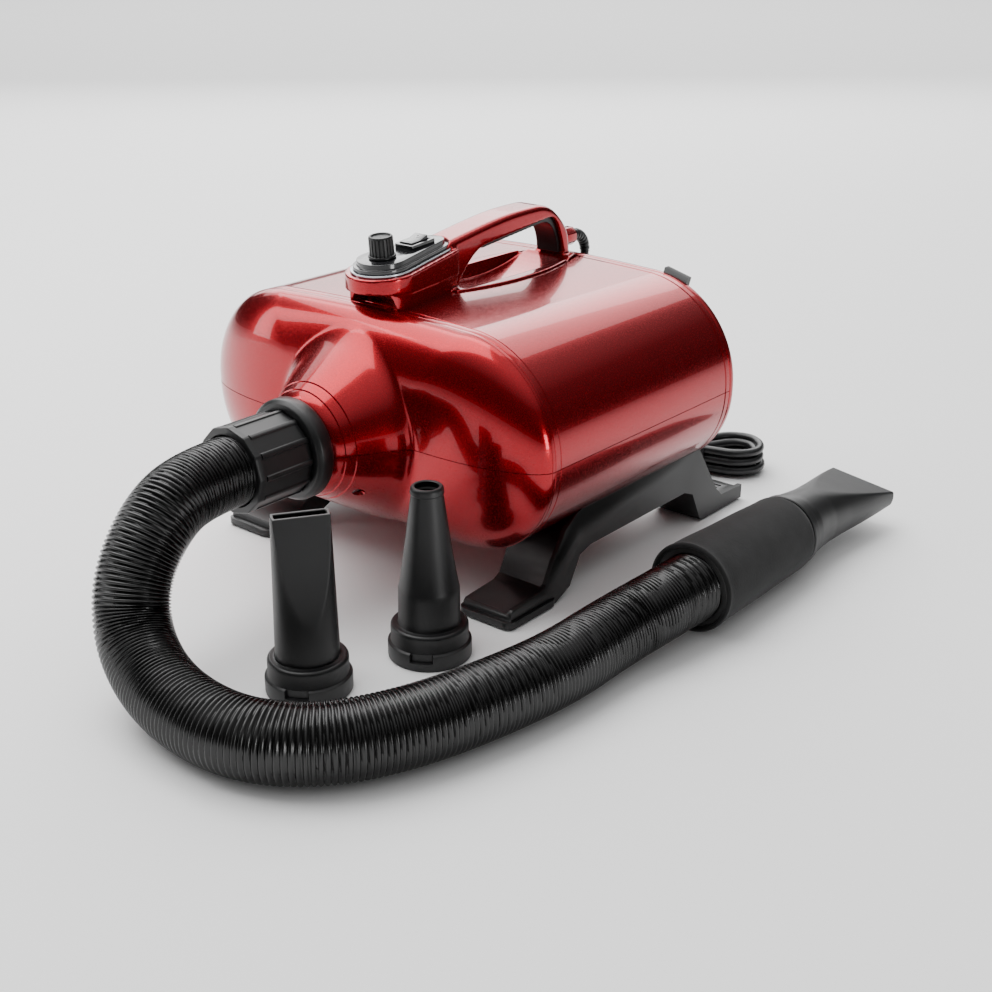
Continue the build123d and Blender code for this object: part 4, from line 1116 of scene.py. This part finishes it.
# ---------------------------------------------------------------- controls
@dataclass
class Controls:
    """The speed knob, its panel and the marked power rocker on the pod's sloping top."""

    centre: Point = (0.0, -106.5, 205.0)
    slope: float = 5.0
    panel_top: float = 7.4
    knob_r: float = 8.1
    knob_h: float = 14.4
    flutes: int = 20
    rocker_at: float = 31.0
    rocker_tilt: float = 7.0
    columns: int = 400

    def place(self, across: float, along: float, up: float) -> Vector:
        """Turns the pod top's own directions into the frame's.

        Args:
            across: Distance to the right.
            along: Distance to the rear, up the slope.
            up: Distance above the pod top.

        Returns:
            The point.
        """
        lean = math.radians(self.slope)
        ahead = Vector((0, math.cos(lean), math.sin(lean)))
        normal = Vector((0, -math.sin(lean), math.cos(lean)))
        return Vector(self.centre) + Vector((across, 0, 0)) + ahead * along + normal * up

    def knob_loop(self, radius: float, up: float, depth: float = 0.0) -> np.ndarray:
        """A loop of the knob.

        Args:
            radius: The loop's radius.
            up: Distance above the panel.
            depth: Depth of the flutes.

        Returns:
            The loop's points.
        """
        turns = np.linspace(0, 2 * math.pi, self.columns, endpoint=False)
        reach = radius - depth * np.clip(np.cos(turns * self.flutes) * 1.6 - 0.4, 0, 1)
        return np.array([
            self.place(r * math.cos(t), r * math.sin(t), self.panel_top + up)[:] for r, t in zip(reach, turns)
        ])

    def knob(self) -> None:
        """A fluted knob with a skirt, a rim and a hollow top."""
        radius, high = self.knob_r, self.knob_h
        rows = [self.knob_loop(3.0, 0.4), self.knob_loop(radius + 0.5, 0.4)]
        rows.append(self.knob_loop(radius + 0.9, 0.8))
        rows += [self.knob_loop(radius + 0.9, 1.6), self.knob_loop(radius + 0.6, 2.0)]
        rows.append(self.knob_loop(radius, 2.2, 0.8))
        rows += [self.knob_loop(radius - 0.15 * share, 2.4 + 10.2 * share, 0.8) for share in (0.0, 0.5, 1.0)]
        rows += [self.knob_loop(radius - 0.2, high - 1.2, 0.2), self.knob_loop(radius - 0.3, high - 0.6)]
        rows += [self.knob_loop(radius - 0.8, high), self.knob_loop(radius - 1.7, high)]
        rows += [self.knob_loop(radius - 2.0, high - 0.5), self.knob_loop(radius - 2.4, high - 1.0)]
        rows += [self.knob_loop(0.3, high - 1.3), self.knob_loop(0.3, -3.0), self.knob_loop(2.9, -3.0)]
        stand_in(ring_solid("fluted_knob", rows), "speed_knob", Look.SATIN_BLACK, 40)

    def marks(self) -> None:
        """The plain on and off marks printed on the rocker."""
        lean = math.radians(self.slope + self.rocker_tilt)
        pivot = self.place(0, self.rocker_at, self.panel_top - 2.0)
        ahead = Vector((0, math.cos(lean), math.sin(lean)))
        normal = Vector((0, -math.sin(lean), math.cos(lean)))
        side = Vector((1, 0, 0))

        def spot(across: float, along: float, rise: float) -> Point:
            height = 5.8 + 1.2 * abs(along) / 7.8
            return tuple(pivot + side * across + ahead * along + normal * (height + rise))

        outline = ((-1.4, -4.9), (1.4, -4.9), (1.4, -4.2), (-1.4, -4.2))
        corners = [(x, y, z) for z in (-0.2, 0.14) for x, y in outline]
        bar = make_object(
            "on_mark", [spot(*corner) for corner in corners],
            [(3, 2, 1, 0), (4, 5, 6, 7), (0, 1, 5, 4), (1, 2, 6, 5), (2, 3, 7, 6), (3, 0, 4, 7)],
        )
        loops = [(1.0, -0.2), (1.55, -0.2), (1.55, 0.14), (1.0, 0.14)]
        turns = np.linspace(0, 2 * math.pi, 40, endpoint=False)
        rows = [
            np.array([spot(r * math.cos(t), 4.3 + r * math.sin(t), rise) for t in turns]) for r, rise in loops
        ]
        ring = ring_solid("off_mark", rows)
        for mark in (bar, ring):
            Look.PRINT_WHITE.on(mark)
            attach(mark, "power_rocker")

    def build(self) -> None:
        """Makes the knob and the marks."""
        self.knob()
        self.marks()


# ---------------------------------------------------------------- cords
def curve_points(route: Sequence[Point], name: str) -> tuple[bpy.types.Object, np.ndarray]:
    """A smooth curve through a route of control points.

    Args:
        route: Control points in metres.
        name: The curve's name.

    Returns:
        The curve object and the points along it.
    """
    data = bpy.data.curves.new(name, "CURVE")
    data.dimensions = "3D"
    data.resolution_u = 24
    spline = data.splines.new("NURBS")
    spline.points.add(len(route) - 1)
    for point, place in zip(spline.points, route):
        point.co = (*place, 1.0)
    spline.order_u = 3
    spline.use_endpoint_u = True
    item = bpy.data.objects.new(name, data)
    bpy.context.scene.collection.objects.link(item)
    depsgraph = bpy.context.evaluated_depsgraph_get()
    line = bpy.data.meshes.new_from_object(item.evaluated_get(depsgraph))
    points = np.array([vertex.co[:] for vertex in line.vertices])
    bpy.data.meshes.remove(line)
    return item, points


def length_of(points: np.ndarray) -> float:
    """Length of a line of points."""
    return float(np.linalg.norm(np.diff(points, axis=0), axis=1).sum())


def even_points(points: np.ndarray, count: int) -> np.ndarray:
    """The same line at evenly spaced points."""
    along = np.concatenate([[0], np.cumsum(np.linalg.norm(np.diff(points, axis=0), axis=1))])
    wanted = np.linspace(0, along[-1], count)
    return np.stack([np.interp(wanted, along, points[:, axis]) for axis in range(3)], axis=1)


@dataclass
class Hose:
    """The ribbed hose from the swivel cuff to the hand grip."""

    radius: float = 0.022
    rib_depth: float = 0.0013
    pitches: tuple[tuple[float, float], ...] = (
        (0.0, 0.0024), (0.14, 0.0024), (0.3, 0.0030), (0.6, 0.0031), (0.85, 0.0024), (1.0, 0.0019),
    )
    columns: int = 64
    steps_per_rib: int = 6
    route: tuple[Point, ...] = (
        (0.0, -0.240, 0.107),
        (0.0, -0.271, 0.107),
        (0.008, -0.303, 0.101),
        (0.011, -0.328, 0.074),
        (0.019, -0.338, 0.044),
        (0.046, -0.347, 0.027),
        (0.085, -0.354, 0.0224),
        (0.127, -0.352, 0.0223),
        (0.162, -0.330, 0.0223),
        (0.185, -0.289, 0.0223),
        (0.199, -0.238, 0.0223),
        (0.207, -0.186, 0.0223),
        (0.206, -0.136, 0.0226),
        (0.216, -0.09199, 0.03006),
        (0.216, -0.0540, 0.02928),
    )

    def phase(self, along: np.ndarray) -> np.ndarray:
        """Rib count from the start: the hose is stretched in its loop and gathered at both ends."""
        fine = np.linspace(0, along[-1], 4000)
        stops, sizes = zip(*self.pitches)
        pitch = np.interp(fine / along[-1], stops, sizes)
        count = np.concatenate([[0], np.cumsum(np.diff(fine) / pitch[1:])])
        return np.interp(along, fine, count)

    def build(self) -> None:
        line, points = curve_points(self.route, "hose_line")
        bpy.data.objects.remove(line)
        total = length_of(points)
        ribs = float(self.phase(np.array([0.0, total]))[-1])
        rows = int(ribs * self.steps_per_rib)
        spine = even_points(points, rows)
        along = np.linspace(0, total, rows)
        forward = np.gradient(spine, axis=0)
        forward /= np.linalg.norm(forward, axis=1)[:, None]
        side = np.zeros_like(spine)
        side[0] = (1.0, 0.0, 0.0)
        for row in range(1, rows):
            kept = side[row - 1] - forward[row] * np.dot(side[row - 1], forward[row])
            side[row] = kept / np.linalg.norm(kept)
        up = np.cross(forward, side)
        turns = np.linspace(0, 2 * math.pi, self.columns, endpoint=False)
        waves = 2 * math.pi * self.phase(along)[:, None]
        relief = 0.5 - 0.5 * np.cos(waves + turns[None, :])
        radius = self.radius - self.rib_depth * relief ** 1.5
        outside = (
            spine[:, None, :]
            + radius[..., None] * (np.cos(turns)[None, :, None] * side[:, None, :]
                                   + np.sin(turns)[None, :, None] * up[:, None, :])
        )
        corners = outside.reshape(-1, 3) / MM
        item = make_object("ribbed_hose", corners, capped_faces(rows, self.columns))
        smooth(item, 60)
        Look.HOSE_BLACK.on(item)
        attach(item, ROOT)
        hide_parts("hose")
        LOG.info("hose: %.3f m long, %d faces", total, len(item.data.polygons))


@dataclass
class PowerLead:
    """The mains lead: down from the strain relief, six folded turns in a tied hank, and the plug."""

    radius: float = 0.00325
    hank_centre: tuple[float, float] = (0.070, 0.172)
    hank_angle: float = 39.7
    turns: int = 6
    layer: float = 0.0036
    top_z: float = 0.0214
    fold_at: float = 0.0295
    fold_wide: float = 0.023
    fold_narrow: float = 0.017

    def place(self, along: float, across: float, height: float) -> Point:
        """A point given along and across the hank and above the floor."""
        turn = math.radians(self.hank_angle)
        x = self.hank_centre[0] + along * math.cos(turn) - across * math.sin(turn)
        y = self.hank_centre[1] + along * math.sin(turn) + across * math.cos(turn)
        return (x, y, height)

    def turn_points(self, number: int) -> list[Point]:
        """Control points of one folded turn, pinched at its middle by the tie."""
        wide = number % 2 == 0
        fold = self.fold_wide if wide else self.fold_narrow
        after = self.fold_narrow if wide else self.fold_wide
        pinch = 0.0105 if wide else 0.0048
        reach = self.fold_at + (0.0015 if number % 3 == 1 else 0.0)
        half = (pinch + fold) / 2
        spots = [(0.0, -pinch), (reach * 0.5, -half)]
        spots += [
            (reach, -fold), (reach + 0.75 * fold, -0.75 * fold), (reach + fold, 0.0),
            (reach + 0.75 * fold, 0.75 * fold), (reach, fold),
        ]
        spots += [(reach * 0.5, half), (0.0, pinch), (-reach * 0.5, half)]
        if number < self.turns - 1:
            middle = (fold + after) / 2
            spots += [
                (-reach, fold), (-reach - 0.75 * fold, 0.75 * fold), (-reach - middle, 0.0),
                (-reach - 0.75 * after, -0.75 * after), (-reach, -after),
                (-reach * 0.5, -(after + 0.0076) / 2),
            ]
        start = self.top_z - number * self.layer
        drop = self.layer if number < self.turns - 1 else 0.0
        return [
            self.place(along, across, start - drop * index / len(spots))
            for index, (along, across) in enumerate(spots)
        ]

    def route(self) -> list[Point]:
        """Control points of the whole lead, in metres."""
        points: list[Point] = [
            (0.0, 0.1115, 0.1778),
            (0.0, 0.112, 0.150),
            (-0.005, 0.114, 0.122),
            (-0.013, 0.114, 0.094),
            (-0.016, 0.112, 0.066),
            (-0.012, 0.111, 0.042),
            (-0.002, 0.114, 0.027),
            self.place(-0.076, -0.0034, 0.0215),
            self.place(-0.045, -0.0045, 0.0217),
            self.place(-0.020, -0.0075, 0.0217),
        ]
        for number in range(self.turns):
            points += self.turn_points(number)
        points += [
            self.place(-0.0350, 0.0060, 0.0034),
            self.place(-0.0560, 0.0036, 0.0034),
            self.place(-0.0810, 0.0036, 0.0034),
            self.place(-0.0987, 0.0213, 0.0034),
            self.place(-0.0987, 0.0463, 0.0060),
            self.place(-0.0810, 0.0640, 0.0111),
            self.place(-0.0560, 0.0640, 0.0111),
        ]
        return points

    def build(self) -> None:
        item, points = curve_points(self.route(), "power_lead")
        item.data.bevel_depth = self.radius
        item.data.bevel_resolution = 5
        item.data.resolution_u = 8
        item.data.use_fill_caps = True
        item.data.materials.append(Look.CORD_BLACK.value.build())
        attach(item, ROOT)
        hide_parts("power_cord", "cord_hank", "plug_lead")
        plug = Look.CORD_BLACK.on(soften_edges("plug_body", 1.6, 4))
        tie = Look.SATIN_BLACK.on(soften_edges("cord_tie", 0.6))
        pins = Look.BRASS.on(soften_edges("plug_pins", 0.4, 2))
        relief = self.strain_relief()
        self.route()[0]

    def strain_relief(self) -> bpy.types.Object:
        """The ribbed, tapered sleeve that bends the lead down behind the handle."""
        bend = 15.0
        centre = Vector((0.0, 96.5, 177.8))
        rows = []
        total = 4.0 + bend * math.pi / 2
        steps = 72
        for step in range(steps + 1):
            along = total * step / steps
            if along <= 4.0:
                spot = Vector((0, 92.5 + along, 192.8))
                ahead = Vector((0, 1, 0))
            else:
                turn = (along - 4.0) / bend
                spot = centre + Vector((0, math.sin(turn), math.cos(turn))) * bend
                ahead = Vector((0, math.cos(turn), -math.sin(turn)))
            taper = 4.5 - 0.7 * along / total
            notch = 0.75 if (along % 3.4) > 2.3 and along > 3 else 0.0
            rows.append((spot, ahead, taper - notch))
        columns = 40
        points = []
        for spot, ahead, radius in rows:
            side = Vector((1, 0, 0))
            up = side.cross(ahead)
            for column in range(columns):
                turn = 2 * math.pi * column / columns
                points.append(tuple(spot + (side * math.cos(turn) + up * math.sin(turn)) * radius))
        item = make_object("strain_relief_ribbed", points, capped_faces(len(rows), columns))
        smooth(item, 40)
        Look.CORD_BLACK.on(item)
        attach(item, ROOT)
        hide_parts("strain_relief")
        return item


# ---------------------------------------------------------------- studio
@dataclass
class Studio:
    """Pale floor, soft boxes and the camera."""

    camera_at: Point = (0.6399, -0.7642, 0.4294)
    target: Point = (0.0947, -0.107455, 0.0724)
    lens: float = 52.62
    sensor: float = 36.0

    def softbox(self, name: str, at: Point, size: tuple[float, float], power: float,
                aim: Point = (0.05, -0.08, 0.08)) -> None:
        """Adds a rectangular soft light.

        Args:
            name: The light's name.
            at: Where it stands, in metres.
            size: Its width and height, in metres.
            power: Its power in watts.
            aim: The point that it faces.
        """
        data = bpy.data.lights.new(name, "AREA")
        data.shape = "RECTANGLE"
        data.size, data.size_y = size
        data.energy = power
        item = bpy.data.objects.new(name, data)
        item.location = at
        item.rotation_euler = (Vector(aim) - Vector(at)).to_track_quat("-Z", "Y").to_euler()
        bpy.context.scene.collection.objects.link(item)

    def sky(self) -> None:
        """A room that is bright overhead and dim at eye level, so that glossy sides keep a dark band."""
        world = bpy.data.worlds.new("studio")
        world.use_nodes = True
        tree = world.node_tree
        place = add_node(tree, "ShaderNodeTexCoord")
        parts = add_node(tree, "ShaderNodeSeparateXYZ", links={"Vector": place.outputs["Generated"]})
        tones = add_node(tree, "ShaderNodeValToRGB", links={"Fac": parts.outputs["Z"]})
        ramp = tones.color_ramp
        ramp.elements[0].position = 0.1
        ramp.elements[0].color = linear("#141414")
        ramp.elements[1].position = 0.95
        ramp.elements[1].color = linear("#FFFFFF")
        middle = ramp.elements.new(0.45)
        middle.color = linear("#565656")
        back = tree.nodes["Background"]
        tree.links.new(tones.outputs["Color"], back.inputs["Color"])
        back.inputs["Strength"].default_value = 1.1
        bpy.context.scene.world = world

    def build(self) -> None:
        """Makes the floor, lights and camera."""
        reach = 40000.0
        floor = make_object(
            "paper_floor", [(-reach, -reach, 0), (reach, -reach, 0), (reach, reach, 0), (-reach, reach, 0)],
            [(0, 1, 2, 3)],
        )
        floor.data.materials.append(Paper("white_background_paper", "#F6F6F6", 0.9, "").build())
        self.sky()
        self.softbox("top_box", (-0.7, -0.3, 1.7), (1.7, 1.5), 34.0)
        self.softbox("back_box", (-1.5, 1.6, 1.15), (2.8, 1.3), 34.0)
        self.softbox("back_wash", (-3.2, 3.8, 3.2), (7.0, 7.0), 330.0, aim=(-3.2, 3.8, 0.0))
        self.softbox("left_strip", (-1.5, -1.0, 0.8), (0.35, 1.5), 8.0)
        self.softbox("right_box", (1.3, -0.24, 0.16), (0.32, 0.26), 3.0, aim=(0.0, -0.15, 0.11))
        data = bpy.data.cameras.new("camera")
        data.lens = self.lens
        data.sensor_width = self.sensor
        camera = bpy.data.objects.new("camera", data)
        camera.location = self.camera_at
        aim = Vector(self.target) - Vector(self.camera_at)
        camera.rotation_euler = aim.to_track_quat("-Z", "Y").to_euler()
        bpy.context.scene.collection.objects.link(camera)
        bpy.context.scene.camera = camera


# ---------------------------------------------------------------- what keeps its CAD shape
@dataclass
class Fittings:
    """The black mouldings and the machine's insides."""

    def build(self) -> None:
        """Rounds the moulded pieces' edges and dresses all that is left."""
        for node in ("outlet_ring", "foot_rail_left", "foot_rail_right", "rear_grille"):
            Look.SATIN_BLACK.on(soften_edges(node, 0.8))
        Look.NOZZLE_BLACK.on(soften_edges("nozzle_socket", 0.5))
        Look.RUBBER.on(soften_edges("grip_collar", 0.6))
        Look.GLOSS_BLACK.on(soften_edges("control_panel", 0.9))
        Look.BRIGHT_RIM.on(soften_edges("panel_trim", 0.3))
        Look.GLOSS_BLACK.on(soften_edges("rocker_bezel", 0.5))
        Look.GLOSS_BLACK.on(soften_edges("power_rocker", 0.4))
        Look.CANDY_RED.on(soften_edges("rear_bezel", 0.8))
        plain = {
            Look.INNER_PLASTIC: (
                "motor_bulkhead", "fan_housing_left", "fan_housing_right", "air_duct", "grip_tube",
                "speed_control", "switch_body",
            ),
            Look.CAN_STEEL: ("motor_left", "motor_right", "bearings_left", "bearings_right"),
            Look.STEEL: (
                "motor_shaft_left", "motor_shaft_right", "rail_screws", "handle_screws", "cone_screws",
            ),
            Look.CAST_ALUMINIUM: ("impeller_left", "impeller_right"),
            Look.FILTER_FOAM: ("filter_foam",),
            Look.BOARD: ("circuit_board",),
            Look.RUBBER: ("rubber_pads",),
        }
        for look, nodes in plain.items():
            for node in nodes:
                item = frame["nodes"][node]
                item.data.materials.clear()
                item.data.materials.append(look.value.build())
        LOG.info("fittings dressed")


def main() -> None:
    """Builds the studio and then the dryer, piece by piece."""
    Studio().build()
    Hose().build()
    PowerLead().build()
    Casing().build()
    Handle().build()
    Controls().build()
    Cuff().build()
    Grip().build()
    RoundNozzle(at=(111.0, -190.0)).build()
    FlatNozzle(at=(85.0, -266.0)).build()
    Fittings().build()


if __name__ == "__main__":
    logging.basicConfig(level=logging.INFO)
    main()
